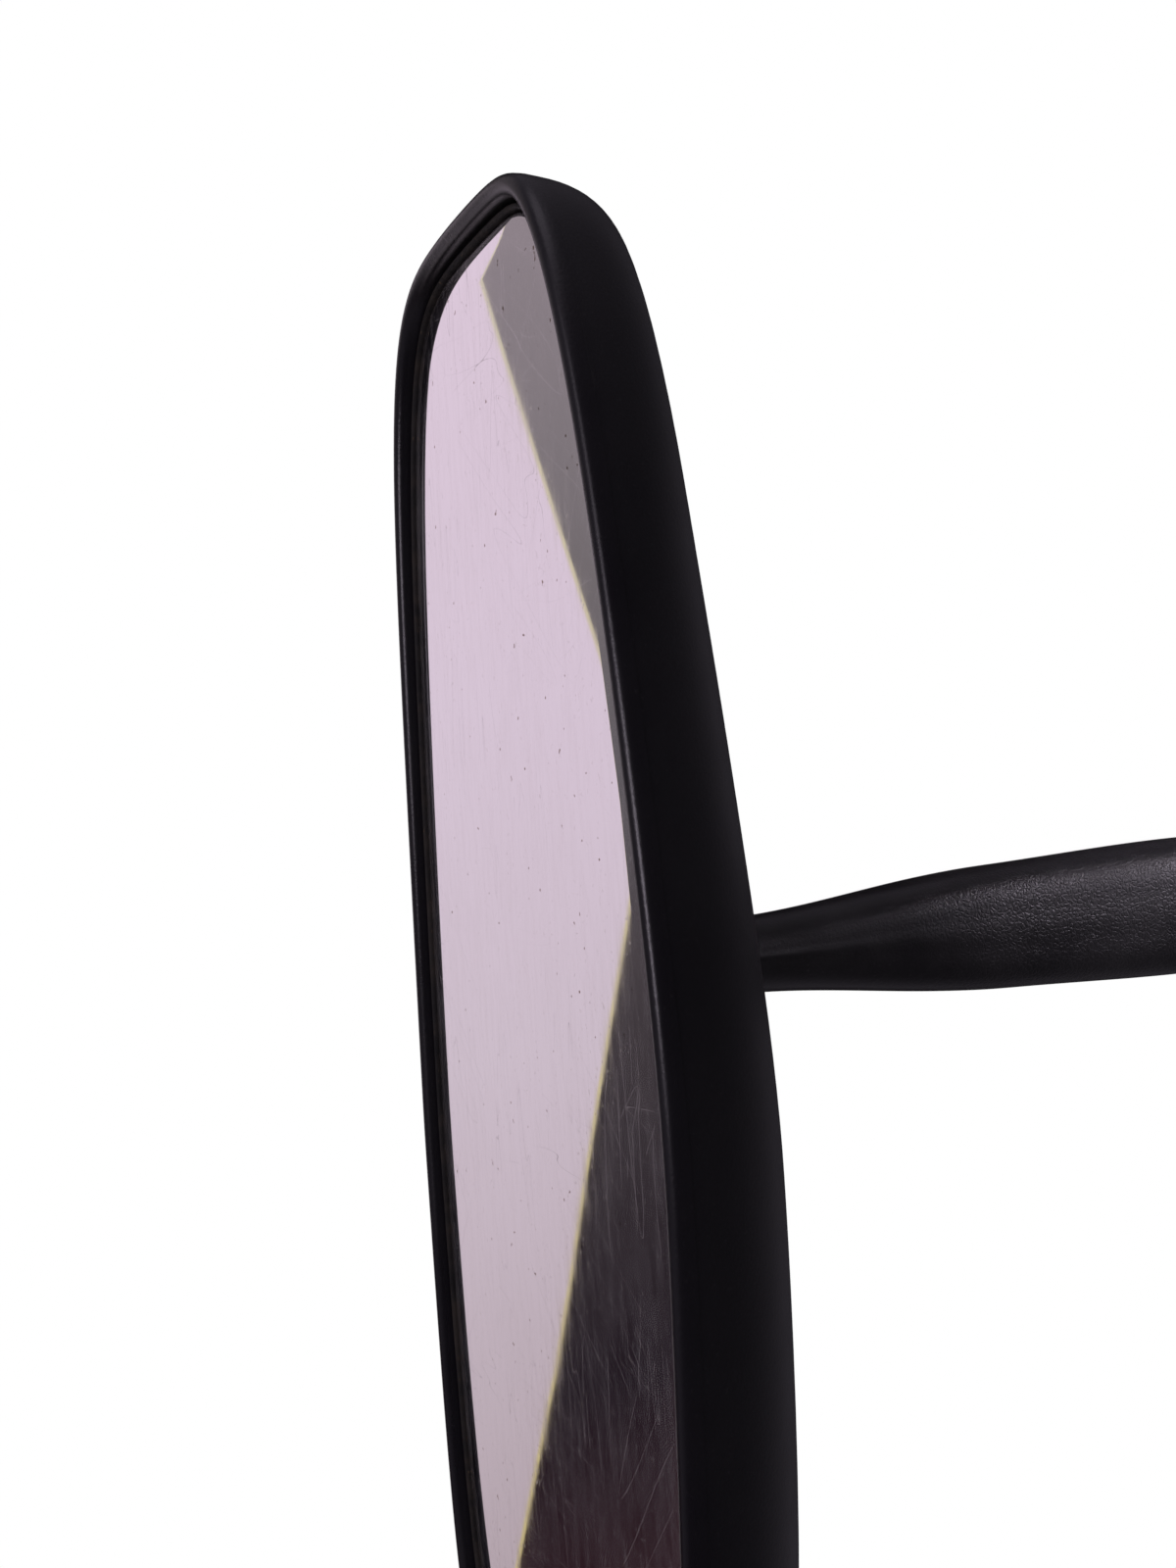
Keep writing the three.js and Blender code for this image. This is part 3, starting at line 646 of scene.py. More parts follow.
pad_foam, tree, shader = new_material("pad_foam", 0.95, Specular_IOR_Level=0.1)
cells = placed(tree, moulded_grain, Grain_Scale=1400.0, Cloud_Scale=90.0)
wire(tree, mixed(tree, cells["Height"], (0.02, 0.02, 0.021, 1), (0.055, 0.054, 0.056, 1)),
     shader.inputs["Base Color"])
bumped(tree, shader, cells["Height"], 0.2 * mm)
dress(["foam_pad"], pad_foam)

carrier_plastic = black_moulding("carrier_plastic", (0.02, 0.02, 0.022, 1),
                                 (0.03, 0.03, 0.033, 1), 1600.0, 0.02 * mm, 0.55, 0.2)
dress(["glass_carrier", "retainer_plate"], carrier_plastic)

liner_nylon, tree, shader = new_material("liner_nylon", 0.42, Specular_IOR_Level=0.45)
grain = placed(tree, moulded_grain, Grain_Scale=900.0, Cloud_Scale=150.0)
wire(tree, mixed(tree, grain["Cloud"], (0.62, 0.6, 0.54, 1), (0.74, 0.72, 0.66, 1)),
     shader.inputs["Base Color"])
wire(tree, ranged(tree, grain["Cloud"], 0, 1, 0.36, 0.5), shader.inputs["Roughness"])
bumped(tree, shader, grain["Height"], 0.01 * mm)
dress(["socket_liner"], liner_nylon)


def bright_metal(name, base, dull, roughness, turning):
    """Bare or plated steel: lathe or draw marks along `turning`, dull patches, hairlines."""
    made, tree, shader = new_material(name, roughness, 1.0)
    place = object_place(tree)
    lines = noise(tree, stretched(tree, place, turning), 1.0, 3, 0.6)
    cloud = placed(tree, moulded_grain, Place=place, Grain_Scale=900.0, Cloud_Scale=220.0)
    hair = placed(tree, scratches, Place=place, Scale=180.0, Thinness=0.006)
    colour = mixed(tree, cloud["Cloud"], base, dull)
    wire(tree, mixed(tree, hair["Mask"], colour, dull), shader.inputs["Base Color"])
    gloss = ranged(tree, cloud["Cloud"], 0, 1, roughness - 0.06, roughness + 0.12)
    wire(tree, gloss, shader.inputs["Roughness"])
    bumped(tree, shader, lines, 0.006 * mm)
    return made


zinc_steel = bright_metal("zinc_plated_steel", (0.62, 0.61, 0.6, 1), (0.42, 0.41, 0.41, 1), 0.34,
                          (900, 7000, 900))
dress([f"retainer_screw_{i}" for i in (1, 2, 3)], zinc_steel)


# ---- Ball stud ------------
# Turned steel, blackened: a 13 mm ball on a short neck, with a shank pressed into the arm.

ball_radius = 6.5
neck_radius = 4.2
shank_radius = 3.5
neck_end = 26.2
shank_end = 42.0
sleeve_start = 26.5 * mm
core_start = 42.6 * mm


def turned_piece(name, profile, base, axis, sides=64, looped=False):
    """A closed profile of (radius, height) in mm, turned about the line from base along axis."""
    side = axis.orthogonal().normalized()
    other = axis.cross(side)

    def place(ring, turn):
        radius, height = profile[ring]
        out = side * cos(turn) + other * sin(turn)
        return base + out * radius * mm + axis * height * mm
    return loft(name, len(profile), sides, place, looped=looped)


along_x, along_y, along_z = Vector((1, 0, 0)), Vector((0, 1, 0)), Vector((0, 0, 1))
neck_base = Vector((ball.x, rim_y, ball.z))
deep = ball_depth / mm
join = pi - asin(neck_radius / ball_radius)
stud_profile = [(ball_radius * sin(join * i / 20), deep - ball_radius * cos(join * i / 20))
                for i in range(21)]
stud_profile[0] = (0, deep - ball_radius)
stud_profile += [(neck_radius, deep + 5.6), (neck_radius, neck_end - 0.8),
                 (neck_radius - 0.15, neck_end - 0.3), (neck_radius - 0.5, neck_end),
                 (shank_radius, neck_end), (shank_radius, shank_end - 0.6),
                 (shank_radius - 0.3, shank_end), (0, shank_end)]
stud = turned_piece("ball_pin", stud_profile, neck_base, along_y)
ball_steel = bright_metal("blackened_steel", (0.05, 0.048, 0.052, 1), (0.03, 0.028, 0.03, 1),
                          0.38, (400, 6000, 400))
finish_piece(stud, "stud", "ball_stud", ball_steel, 30)


# ---- Arm sleeve ------------
# Black plastic moulded over the rod, round at the neck and flattening as it widens, with a
# leather-like grain that starts past the neck and a fine parting line down both faces.

fold = Vector(joints["arm_fold"]["pos_m"])
leg_lean = radians(22)
leg_length = 92 * mm
bend_radius = 26 * mm
bend_angle = pi / 2 + leg_lean
reach = 98 * mm
stub_length = 24 * mm
leg_direction = Vector((0, sin(leg_lean), cos(leg_lean)))
bend_centre = Vector((0, rim_y + reach, ball.z - bend_radius))
sleeve_end = reach + bend_radius * bend_angle + leg_length - stub_length - 0.3 * mm
sleeve_rings = 72
sleeve_sides = 64
parting_height = 0.22 * mm
parting_half_width = 0.45 * mm
sleeve_neck_width = 9
flare_end = 65 * mm
late_flare = (56 * mm, 98 * mm)
foot_length = 22 * mm


def arm_at(distance):
    """The arm's centre and its outward normal, at a distance behind the rim's plane."""
    around = (distance - reach) / bend_radius
    if around <= 0:
        return neck_base + along_y * distance, along_z
    turn = min(around, bend_angle)
    normal = Vector((0, sin(turn), cos(turn)))
    return (bend_centre + normal * bend_radius
            - leg_direction * bend_radius * (around - turn)), normal


def sleeve_section(distance):
    """Half width, half thickness and squareness of the arm at a distance behind the rim."""
    flare = smoothstep(distance, sleeve_start, flare_end)
    later = smoothstep(distance, *late_flare)
    foot = smoothstep(distance, sleeve_end - foot_length, sleeve_end)
    width = sleeve_neck_width + 6.2 * flare + 2.8 * later - 4 * foot
    thickness = sleeve_neck_width + 3 * flare + 2 * foot
    return width * mm / 2, thickness * mm / 2, 2 + 1.4 * flare - 1.4 * foot


end_round = 0.6 * mm
sleeve_stations = [(sleeve_start, -end_round), (sleeve_start + 0.2 * mm, -0.25 * end_round)]
sleeve_stations += [(sleeve_start + end_round + (sleeve_end - sleeve_start - 2 * end_round)
                     * i / (sleeve_rings - 1), 0.0) for i in range(sleeve_rings)]
sleeve_stations += [(sleeve_end - 0.2 * mm, -0.25 * end_round), (sleeve_end, -end_round)]
bore = 4.3 * mm
neck_bore = 3.8 * mm
sleeve_inner_rings = 24


def place_on_sleeve(ring, turn):
    outside = len(sleeve_stations)
    if ring < outside:
        distance, swell = sleeve_stations[ring]
        half_w, half_t, exponent = sleeve_section(distance)
        half_w, half_t = half_w + swell, half_t + swell
    else:
        steps = sleeve_inner_rings - 1
        distance = sleeve_end + (sleeve_start - sleeve_end) * (ring - outside) / steps
        half_w = half_t = neck_bore if distance < core_start else bore
        exponent = 2
    centre, normal = arm_at(distance)
    across = half_w * signed_power(cos(turn), 2 / exponent)
    out = half_t * signed_power(sin(turn), 2 / exponent)
    if ring < outside:
        ridge = max(0.0, 1 - abs(across) / parting_half_width)
        out += parting_height * ridge * (1 if out > 0 else -1)
    return centre + Vector((across, 0, 0)) + normal * out


sleeve = loft("sleeve", len(sleeve_stations) + sleeve_inner_rings, sleeve_sides,
              place_on_sleeve, looped=True)
apply_modifier(sleeve, "SUBSURF", levels=1, render_levels=1)

grain_fades = (44 * mm, 66 * mm)
grain_share = sleeve.data.attributes.new("grain_share", "FLOAT", "POINT")
grain_share.data.foreach_set("value", [
    smoothstep(corner.co.y - rim_y + max(0.0, ball.z - 12 * mm - corner.co.z), *grain_fades)
    for corner in sleeve.data.vertices])

# Pebbled hide grain: small cells with creases between them.
leather_grain, given, made = node_group(
    "leather_grain", [("Place", VECTOR, None), ("Scale", NUMBER, 1100.0)], [("Height", NUMBER)])
cells = leather_grain.nodes.new("ShaderNodeTexVoronoi")
cells.feature = "DISTANCE_TO_EDGE"
bend = leather_grain.nodes.new("ShaderNodeVectorMath")
bend.operation = "ADD"
wobble = leather_grain.nodes.new("ShaderNodeTexNoise")
wobble.inputs["Scale"].default_value = 700
wire(leather_grain, given["Place"], wobble.inputs["Vector"])
small = leather_grain.nodes.new("ShaderNodeVectorMath")
small.operation = "SCALE"
small.inputs["Scale"].default_value = 0.0009
wire(leather_grain, wobble.outputs["Color"], small.inputs[0])
wire(leather_grain, given["Place"], bend.inputs[0])
wire(leather_grain, small.outputs[0], bend.inputs[1])
wire(leather_grain, bend.outputs[0], cells.inputs["Vector"])
wire(leather_grain, given["Scale"], cells.inputs["Scale"])
wire(leather_grain, ranged(leather_grain, cells.outputs["Distance"], 0.0, 0.22),
     made["Height"])

sleeve_black, tree, shader = new_material("sleeve_black_plastic", Specular_IOR_Level=0.5)
share = tree.nodes.new("ShaderNodeAttribute")
share.attribute_name = "grain_share"
grained = share.outputs["Fac"]
place = object_place(tree)
pebbles = placed(tree, leather_grain, Place=place, Scale=1700.0)
skin = placed(tree, moulded_grain, Place=place, Grain_Scale=2600.0, Cloud_Scale=60.0)
settled = placed(tree, dust, Place=place, Amount=0.08, Patch_Scale=90.0)
colour = mixed(tree, skin["Cloud"], (0.0048, 0.0042, 0.0054, 1), (0.0078, 0.0068, 0.0082, 1))
wire(tree, mixed(tree, settled["Mask"], colour, (0.13, 0.12, 0.125, 1)),
     shader.inputs["Base Color"])
gloss = maths(tree, "ADD", ranged(tree, grained, 0, 1, 0.34, 0.44),
              ranged(tree, skin["Cloud"], 0, 1, -0.03, 0.05))
wire(tree, gloss, shader.inputs["Roughness"])
fine = maths(tree, "MULTIPLY", skin["Height"], 0.25)
rough = maths(tree, "MULTIPLY", maths(tree, "MULTIPLY", pebbles["Height"], grained), 0.6)
bumped(tree, shader, maths(tree, "ADD", fine, rough), 0.045 * mm)
finish_piece(sleeve, "arm", "arm_sleeve", sleeve_black, 50)

core_steel = bright_metal("drawn_steel", (0.5, 0.49, 0.48, 1), (0.34, 0.32, 0.31, 1), 0.4,
                          (2500, 250, 250))
dress(["arm_core"], core_steel)


# ---- Handlebar clamp ------------
# Two halves cast in aluminium alloy, tumbled and powder coated black. The upper half carries
# the two ears of the fold pivot.

bore_radius = 13.2
clamp_radius = 18.5
clamp_half_width = 11
split = 0.8
flange_reach = 29
flange_top = 9
clamp_bolt_y = 23.5
ear_radius = 9
ear_inner = 6.6
pivot_hole_radius = 3.3
bolt_hole_radius = 2.8
pivot_y, pivot_z = fold.y / mm, fold.z / mm


def arc(centre_y, centre_z, radius, first, last, steps):
    return [(centre_y + radius * cos(first + (last - first) * i / steps),
             centre_z + radius * sin(first + (last - first) * i / steps))
            for i in range(steps + 1)]


def extruded(name, outline, x_from, x_to):
    """An outline in (y, z), in mm, filled and drawn along the bar, then its edges broken."""
    bpy.ops.mesh.primitive_circle_add(vertices=len(outline), radius=1)
    piece = bpy.context.object
    piece.name = name
    for corner, (y, z) in zip(piece.data.vertices, outline):
        corner.co = Vector((x_from, y, z)) * mm
    edit_whole()
    bpy.ops.mesh.edge_face_add()
    bpy.ops.mesh.extrude_region_move(
        TRANSFORM_OT_translate={"value": ((x_to - x_from) * mm, 0, 0)})
    bpy.ops.object.mode_set(mode="OBJECT")
    face_outwards(piece)
    return piece


def cylinder(name, radius, start, end, axis, sides=48):
    """A plain round bar from start to end, in mm, for cutting holes and building up shapes."""
    start, end = Vector(start) * mm, Vector(end) * mm
    turn = axis.to_track_quat("Z", "Y").to_euler()
    bpy.ops.mesh.primitive_cylinder_add(vertices=sides, radius=radius * mm,
                                        depth=(end - start).length, rotation=turn,
                                        location=(start + end) / 2)
    piece = bpy.context.object
    piece.name = name
    bpy.ops.object.transform_apply(location=True, rotation=True, scale=True)
    return piece


def combine(piece, other, operation):
    apply_modifier(piece, "BOOLEAN", object=other, operation=operation, solver="EXACT")
    bpy.data.objects.remove(other)


def broken_edges(piece, width, segments=3, angle=radians(30)):
    apply_modifier(piece, "BEVEL", width=width * mm, segments=segments, limit_method="ANGLE",
                   angle_limit=angle, harden_normals=False)


meet = asin(flange_top / clamp_radius)
slit = asin(split / bore_radius)
soft = 2.5
half_outline = ([(flange_reach, split)]
                + arc(flange_reach - soft, flange_top - soft, soft, 0, pi / 2, 8)
                + arc(0, 0, clamp_radius, meet, pi - meet, 40)
                + arc(soft - flange_reach, flange_top - soft, soft, pi / 2, pi, 8)
                + [(-flange_reach, split)]
                + arc(0, 0, bore_radius, pi - slit, slit, 40))
ear_outline = ([(-6, 14.6)] + arc(pivot_y, pivot_z, ear_radius, pi, 0, 28)
               + [(16, 10), (8, 13.6)])


def pivot_bore():
    return cylinder("pivot_bore", pivot_hole_radius, (-20, pivot_y, pivot_z),
                    (20, pivot_y, pivot_z), along_x)


def clamp_half(name, turned_over):
    outline = [(y, -z) for y, z in half_outline] if turned_over else half_outline
    piece = extruded(name, outline, -clamp_half_width, clamp_half_width)
    if not turned_over:
        for side in (1, -1):
            first, last = sorted((side * (ear_inner + 0.01), side * clamp_half_width))
            combine(piece, extruded("ear", ear_outline, first, last), "UNION")
        combine(piece, pivot_bore(), "DIFFERENCE")
    for y in (clamp_bolt_y, -clamp_bolt_y):
        hole = cylinder("bolt_hole", bolt_hole_radius, (0, y, -30), (0, y, 30), along_z)
        combine(piece, hole, "DIFFERENCE")
    broken_edges(piece, 0.45)
    return piece


cast_black, tree, shader = new_material("powder_coated_alloy", Specular_IOR_Level=0.5)
place = object_place(tree)
coat = placed(tree, moulded_grain, Place=place, Grain_Scale=1500.0, Cloud_Scale=70.0)
settled = placed(tree, dust, Place=place, Amount=0.22)
worn = placed(tree, edge_wear, Place=place)
colour = mixed(tree, coat["Cloud"], (0.0085, 0.008, 0.0092, 1), (0.0135, 0.0125, 0.014, 1))
colour = mixed(tree, settled["Mask"], colour, (0.14, 0.13, 0.13, 1))
wire(tree, mixed(tree, worn["Mask"], colour, (0.42, 0.41, 0.4, 1)), shader.inputs["Base Color"])
wire(tree, worn["Mask"], shader.inputs["Metallic"])
wire(tree, ranged(tree, coat["Cloud"], 0, 1, 0.42, 0.54), shader.inputs["Roughness"])
bumped(tree, shader, coat["Height"], 0.05 * mm)

saddle = clamp_half("saddle", False)
finish_piece(saddle, "clamp", "clamp_saddle", cast_black, 40)
cap = clamp_half("cap", True)
finish_piece(cap, "clamp", "clamp_cap", cast_black, 40)


# ---- Handlebar shims ------------
# Two half sleeves of ribbed black rubber that take up the clamp's bore and grip the bar.

shim_inner = 11.1
shim_outer = 12.9
shim_open = 0.1
shim_black, tree, shader = new_material("shim_rubber", 0.8, Specular_IOR_Level=0.2)
grain = placed(tree, moulded_grain, Grain_Scale=1300.0, Cloud_Scale=140.0)
dirt = placed(tree, dust, Patch_Scale=300.0, Amount=0.5)
colour = mixed(tree, grain["Cloud"], (0.009, 0.009, 0.0095, 1), (0.016, 0.0155, 0.016, 1))
wire(tree, mixed(tree, dirt["Mask"], colour, (0.11, 0.1, 0.09, 1)), shader.inputs["Base Color"])
wire(tree, ranged(tree, grain["Cloud"], 0, 1, 0.7, 0.88), shader.inputs["Roughness"])
bumped(tree, shader, grain["Height"], 0.05 * mm)

shim_outline = (arc(0, 0, shim_outer, shim_open, pi - shim_open, 36)
                + arc(0, 0, shim_inner, pi - shim_open, shim_open, 36))
for side, node in ((1, "bar_shim_upper"), (-1, "bar_shim_lower")):
    shim = extruded("shim_" + node.split("_")[-1], [(y, side * z) for y, z in shim_outline],
                    -clamp_half_width, clamp_half_width)
    for x in (-7, -3.5, 0, 3.5, 7):
        groove = turned_piece("groove", [(shim_inner - 1, -0.5), (shim_inner + 0.5, -0.3),
                                         (shim_inner + 0.5, 0.3), (shim_inner - 1, 0.5)],
                              Vector((x * mm, 0, 0)), along_x, 72, looped=True)
        combine(shim, groove, "DIFFERENCE")
    broken_edges(shim, 0.12, 2)
    finish_piece(shim, "clamp", node, shim_black, 40)


# ---- Knuckle ------------
# The arm's foot, cast in the same alloy: an eye between the clamp's ears and a round stub
# that the rod is pinned in and the sleeve butts against.

eye_radius = 8
eye_half_width = 5
socket_radius = 4.3
knuckle = cylinder("knuckle", eye_radius, (-eye_half_width, pivot_y, pivot_z),
                   (eye_half_width, pivot_y, pivot_z), along_x, 64)
stub = turned_piece("stub", [(0, 3), (5, 3), (5, 9.0), (5.3, 10), (6.2, 11.2), (6.6, 12.2),
                             (6.6, 22.9), (6.3, 23.7), (5.6, 24), (0, 24)],
                    fold, leg_direction)
combine(knuckle, stub, "UNION")
socket_from = (fold + leg_direction * (stub_length - 13.4 * mm)) / mm
socket_to = (fold + leg_direction * 40 * mm) / mm
combine(knuckle, cylinder("rod_socket", socket_radius, socket_from, socket_to, leg_direction),
        "DIFFERENCE")
combine(knuckle, pivot_bore(), "DIFFERENCE")
broken_edges(knuckle, 0.4)
finish_piece(knuckle, "arm", "arm_knuckle", cast_black, 40)


# ---- Fasteners ------------
# Two M5 clamp bolts with their nuts, and the M6 pivot bolt with a spring washer, a locking
# nut and two nylon washers. The screws are blackened, the nuts and the washer too.

bolt_black = bright_metal("blackened_fastener_steel", (0.06, 0.058, 0.06, 1),
                          (0.028, 0.026, 0.027, 1), 0.4, (800, 800, 800))


def threaded(profile, radius, start, end, pitch):
    """Adds a thread's crests and roots to a turned profile, from start to end."""
    height, step = start, pitch / 2 * (1 if end > start else -1)
    root = True
    while abs(end - height) > abs(step):
        height += step
        profile.append((radius - (0.34 if root else 0.0), height))
        root = not root


def drive_socket(piece, base, axis, across, start, end):
    tool = turned_piece("drive", [(0, start), (across / sqrt(3), start), (across / sqrt(3), end),
                                  (0, end)], base, axis, 6)
    combine(piece, tool, "DIFFERENCE")


def hex_nut(name, base, axis, across, start, end, hole):
    """A hexagon with its corners turned off both faces and its hole countersunk."""
    corner = across / sqrt(3)
    piece = turned_piece(name, [(0, start), (corner, start), (corner, end), (0, end)],
                         base, axis, 6)
    low, high = min(start, end), max(start, end)
    rounder = turned_piece("rounder", [(0, low - 0.01), (across * 0.48, low - 0.01),
                                       (corner + 0.05, low + 0.75), (corner + 0.05, high - 0.75),
                                       (across * 0.48, high + 0.01), (0, high + 0.01)],
                           base, axis, 48)
    combine(piece, rounder, "INTERSECT")
    sink = turned_piece("sink", [(0, low - 1), (hole + 1.5, low - 1), (hole, low + 0.5),
                                 (hole, high - 0.5), (hole + 1.5, high + 1), (0, high + 1)],
                        base, axis, 48)
    combine(piece, sink, "DIFFERENCE")
    broken_edges(piece, 0.12, 2)
    return piece


for side, end_name in ((1, "front"), (-1, "rear")):
    base = Vector((0, side * clamp_bolt_y, 0)) * mm
    top = flange_top + 0.3
    profile = [(0, top + 5), (3.6, top + 5), (4.0, top + 4.85), (4.25, top + 4.5),
               (4.25, top + 0.3), (4.1, top), (2.6, top), (2.5, top - 0.4), (2.5, -4)]
    threaded(profile, 2.5, -4, -14.4, 0.8)
    profile += [(2.1, -15), (0, -15)]
    bolt = turned_piece(f"bolt_{end_name}", profile, base, along_z, 48)
    drive_socket(bolt, base, along_z, 4, top + 2.4, top + 6)
    finish_piece(bolt, "clamp", f"clamp_bolt_{end_name}", bolt_black)
    nut = hex_nut(f"nut_{end_name}", base, along_z, 8, -top - 4, -top, 2.75)
    finish_piece(nut, "clamp", f"clamp_nut_{end_name}", bolt_black)

seat = clamp_half_width + 0.3
profile = [(0, seat + 3.4), (2.8, seat + 3.4), (4.0, seat + 2.9), (4.9, seat + 1.9),
           (5.35, seat + 0.8), (5.4, seat + 0.2), (5.2, seat), (3.1, seat), (3.0, seat - 0.4),
           (3.0, -seat - 0.2)]
threaded(profile, 3.0, -seat - 0.2, -seat - 6.9, 1.0)
profile += [(2.5, -18.8), (0, -18.8)]
pivot_bolt = turned_piece("fold_bolt", profile, fold, along_x, 48)
drive_socket(pivot_bolt, fold, along_x, 4, seat + 1.3, seat + 6)
finish_piece(pivot_bolt, "clamp", "pivot_bolt", bolt_black)

pivot_nut = hex_nut("fold_nut", fold, along_x, 10, -seat - 1.3 - 4, -seat - 1.3, 3.3)
collar = turned_piece("collar", [(3.3, -seat - 4.9), (4.3, -seat - 4.9), (4.3, -seat - 6.2),
                                 (3.9, -seat - 6.7), (3.3, -seat - 6.7)],
                      fold, along_x, 48, looped=True)
combine(pivot_nut, collar, "UNION")
finish_piece(pivot_nut, "clamp", "pivot_nut", bolt_black)


def washer(name, inner, outer, first, last, rounding):
    """A flat ring about the fold's axis, from first to last in mm, with its corners off."""
    profile = [(inner, first + rounding), (inner + rounding, first), (outer - rounding, first),
               (outer, first + rounding), (outer, last - rounding), (outer - rounding, last),
               (inner + rounding, last), (inner, last - rounding)]
    return turned_piece(name, profile, fold, along_x, 64, looped=True)


spring = washer("split_washer", 3.3, 5.6, -seat - 1, -seat, 0.12)
gap = extruded("gap", [(pivot_y + 2, pivot_z - 0.3), (pivot_y + 8, pivot_z + 0.3),
                       (pivot_y + 8, pivot_z + 0.9), (pivot_y + 2, pivot_z + 0.3)], -14, -10)
combine(spring, gap, "DIFFERENCE")
finish_piece(spring, "clamp", "spring_washer", bolt_black)

for side, node in ((1, "friction_washer_outboard"), (-1, "friction_washer_inboard")):
    first, last = sorted((side * 5.3, side * 6.3))
    friction = washer("friction_" + node.split("_")[-1], 3.3, 7.4, first, last, 0.15)
    finish_piece(friction, "clamp", node, liner_nylon)


# ---- Floor and studio light ------------
# A plain pale floor well below the part, a white room that is darker below for what glosses,
# and soft lamps: one overhead, two in front of the glass, one past the tip, one on the arm.

floor_z = cad_box[0][2] - 0.25
bpy.ops.mesh.primitive_plane_add(size=8, location=(0, 0, floor_z))
floor = bpy.context.object
floor.name = "floor"
floor_paint, tree, shader = new_material("floor_paint", 0.8, Specular_IOR_Level=0.2)
shader.inputs["Base Color"].default_value = (0.8, 0.8, 0.8, 1)
floor.data.materials.append(floor_paint)
floor.visible_glossy = False

world = bpy.data.worlds.new("studio")
bpy.context.scene.world = world
world.use_nodes = True
tree = world.node_tree
path = tree.nodes.new("ShaderNodeLightPath")
direction = tree.nodes.new("ShaderNodeSeparateXYZ")
wire(tree, tree.nodes.new("ShaderNodeTexCoord").outputs["Generated"],
     direction.inputs["Vector"])
glossy = ranged(tree, direction.outputs["Z"], -0.5, 0.15, 0.03, 0.16)
glossy = mixed(tree, glossy, (0, 0, 0, 1), (1.0, 0.9, 1.08, 1))
light = mixed(tree, path.outputs["Is Diffuse Ray"], glossy, (0.8, 0.77, 0.82, 1))
light = mixed(tree, path.outputs["Is Camera Ray"], light, (1, 1, 1, 1))
wire(tree, light, tree.nodes["Background"].inputs["Color"])


def lamp(name, place, aim, size, radiance):
    """A soft rectangular lamp; its power follows from the radiance of its face."""
    data = bpy.data.lights.new(name, "AREA")
    data.shape = "RECTANGLE"
    data.size, data.size_y = size
    data.energy = pi * size[0] * size[1] * radiance
    data.color = (1.0, 0.9, 1.05)
    made = bpy.data.objects.new(name, data)
    bpy.context.scene.collection.objects.link(made)
    made.location = place
    made.rotation_euler = (Vector(aim) - Vector(place)).to_track_quat("-Z", "Y").to_euler()
    made.visible_camera = False
    return made


lamp("overhead_lamp", ball + Vector((0.3, 0.25, 1.1)), ball, (0.9, 0.9), 0.25)
lamp("front_lamp", ball + Vector((0.08, -0.62, -0.25)), ball, (0.2, 0.2), 7.5)
lamp("wide_front_lamp", ball + Vector((0.38, -0.75, -0.3)), ball, (0.6, 0.3), 1.2)
lamp("tip_lamp", ball + Vector((0.55, -0.1, -0.12)), ball, (0.4, 0.3), 0.75)
arm_lamp = lamp("arm_lamp", neck_base + Vector((0.12, 0.34, -0.21)),
                neck_base + along_y * 106 * mm, (0.08, 0.08), 0.6)
arm_lamp.data.spread = radians(18)


# ---- What the glass reflects ------------
# Glowing cards up in front of the head, seen by nothing but reflections, paint the reflection
# in the glass: a sheet of white board with a cream edge, cut at a corner, and a backdrop that
# goes from grey to near black past it, their light and shade painted into the glow. A near-black
# card above the back and the arm paints a dark reflection into the black mouldings.

card_height = 0.5
card_near = -60
board_edge = [(340, -142), (14, -243), (-240, -173), (-440, -103)]
board_back = [(-440, card_near), (340, card_near)]


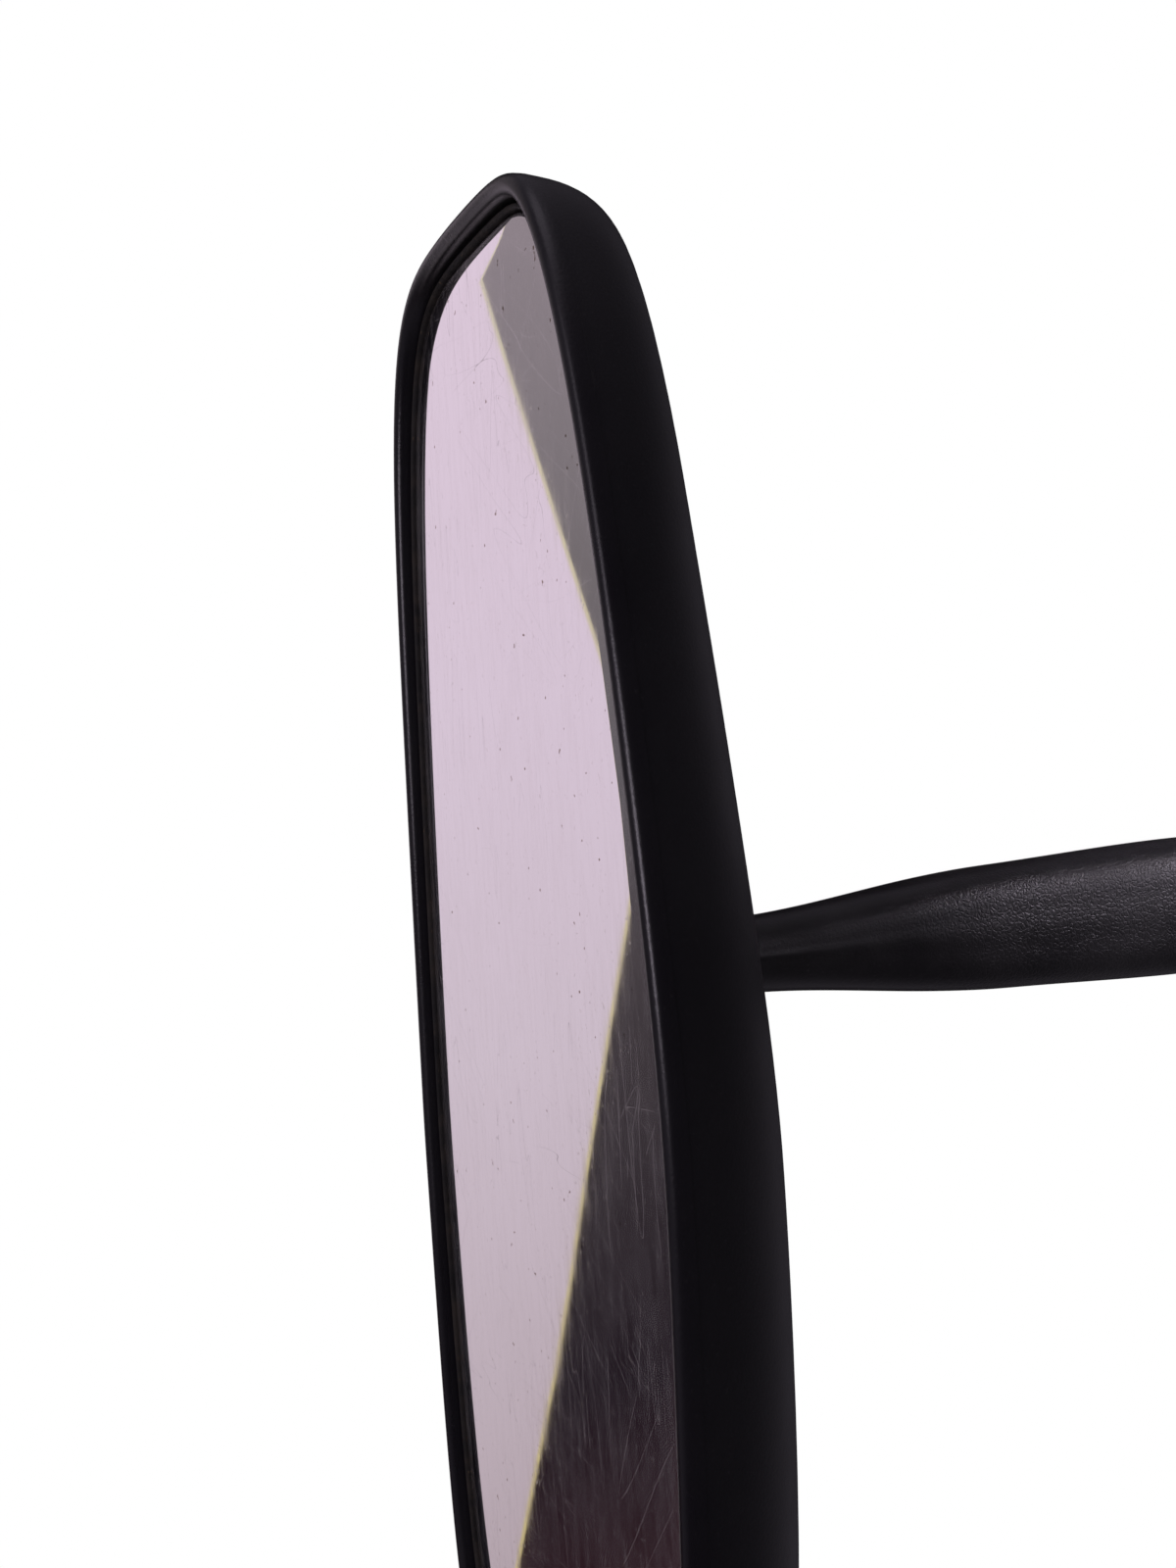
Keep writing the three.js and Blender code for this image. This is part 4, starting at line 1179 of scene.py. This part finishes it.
def card(name, corners, height, ramp, strength=1.0):
    """A flat glowing card that only reflections see, a painted reflection; ramp lists (distance
    along the head in mm, colour), the light and shade painted along it.
    """
    bpy.ops.mesh.primitive_circle_add(vertices=len(corners), radius=1)
    made = bpy.context.object
    made.name = name
    for corner, (x, y) in zip(made.data.vertices, corners):
        corner.co = neck_base + Vector((x * mm, y * mm, height))
    edit_whole()
    bpy.ops.mesh.edge_face_add()
    bpy.ops.object.mode_set(mode="OBJECT")
    material = bpy.data.materials.new(name)
    material.use_nodes = True
    tree = material.node_tree
    tree.nodes.clear()
    glow = tree.nodes.new("ShaderNodeEmission")
    glow.inputs["Strength"].default_value = strength
    output = tree.nodes.new("ShaderNodeOutputMaterial")
    wire(tree, glow.outputs["Emission"], output.inputs["Surface"])
    along = tree.nodes.new("ShaderNodeSeparateXYZ")
    wire(tree, object_place(tree), along.inputs["Vector"])
    low, high = ramp[0][0] * mm, ramp[-1][0] * mm
    colours = tree.nodes.new("ShaderNodeValToRGB")
    wire(tree, ranged(tree, along.outputs["X"], low, high), colours.inputs["Fac"])
    stops = colours.color_ramp.elements
    while len(stops) < len(ramp):
        stops.new(0.5)
    for stop, (x, colour) in zip(stops, ramp):
        stop.position = (x * mm - low) / (high - low)
        stop.color = (*colour, 1)
    wire(tree, colours.outputs["Color"], glow.inputs["Color"])
    made.data.materials.append(material)
    made.visible_camera = made.visible_diffuse = made.visible_shadow = False
    return made


# Painted reflection of the white board, its light falling off towards one end painted in.
card("painted_board_reflection", board_edge + board_back, card_height,
     [(-330, (0.50, 0.42, 0.46)), (-100, (0.68, 0.59, 0.67)), (60, (0.76, 0.65, 0.76)),
      (280, (0.80, 0.67, 0.79))])
# Painted reflection of the board's cream edge.
card("board_edge", [(x, y - 3) for x, y in board_edge] + board_back,
     card_height + 0.002, [(-330, (0.62, 0.52, 0.24)), (280, (0.72, 0.66, 0.50))])
# Painted reflection of a backdrop, its glow painted from grey to near black.
card("backdrop", [(-900, -700), (900, -700), (900, card_near), (-900, card_near)],
     card_height + 0.02,
     [(-358, (0.028, 0.013, 0.017)), (-263, (0.016, 0.011, 0.015)),
      (-165, (0.036, 0.029, 0.034)), (-60, (0.064, 0.054, 0.060)), (30, (0.13, 0.12, 0.13)),
      (130, (0.185, 0.167, 0.175)), (190, (0.235, 0.21, 0.225)), (300, (0.30, 0.26, 0.285))])
# Painted dark reflection: a near-black card, seen only in reflections, that keeps the sheen on the
# black mouldings dark.
card("painted_dark_reflection", [(-700, card_near), (700, card_near), (700, 650), (-700, 650)],
     card_height + 0.03, [(-700, (0.010, 0.008, 0.011)), (700, (0.010, 0.008, 0.011))])
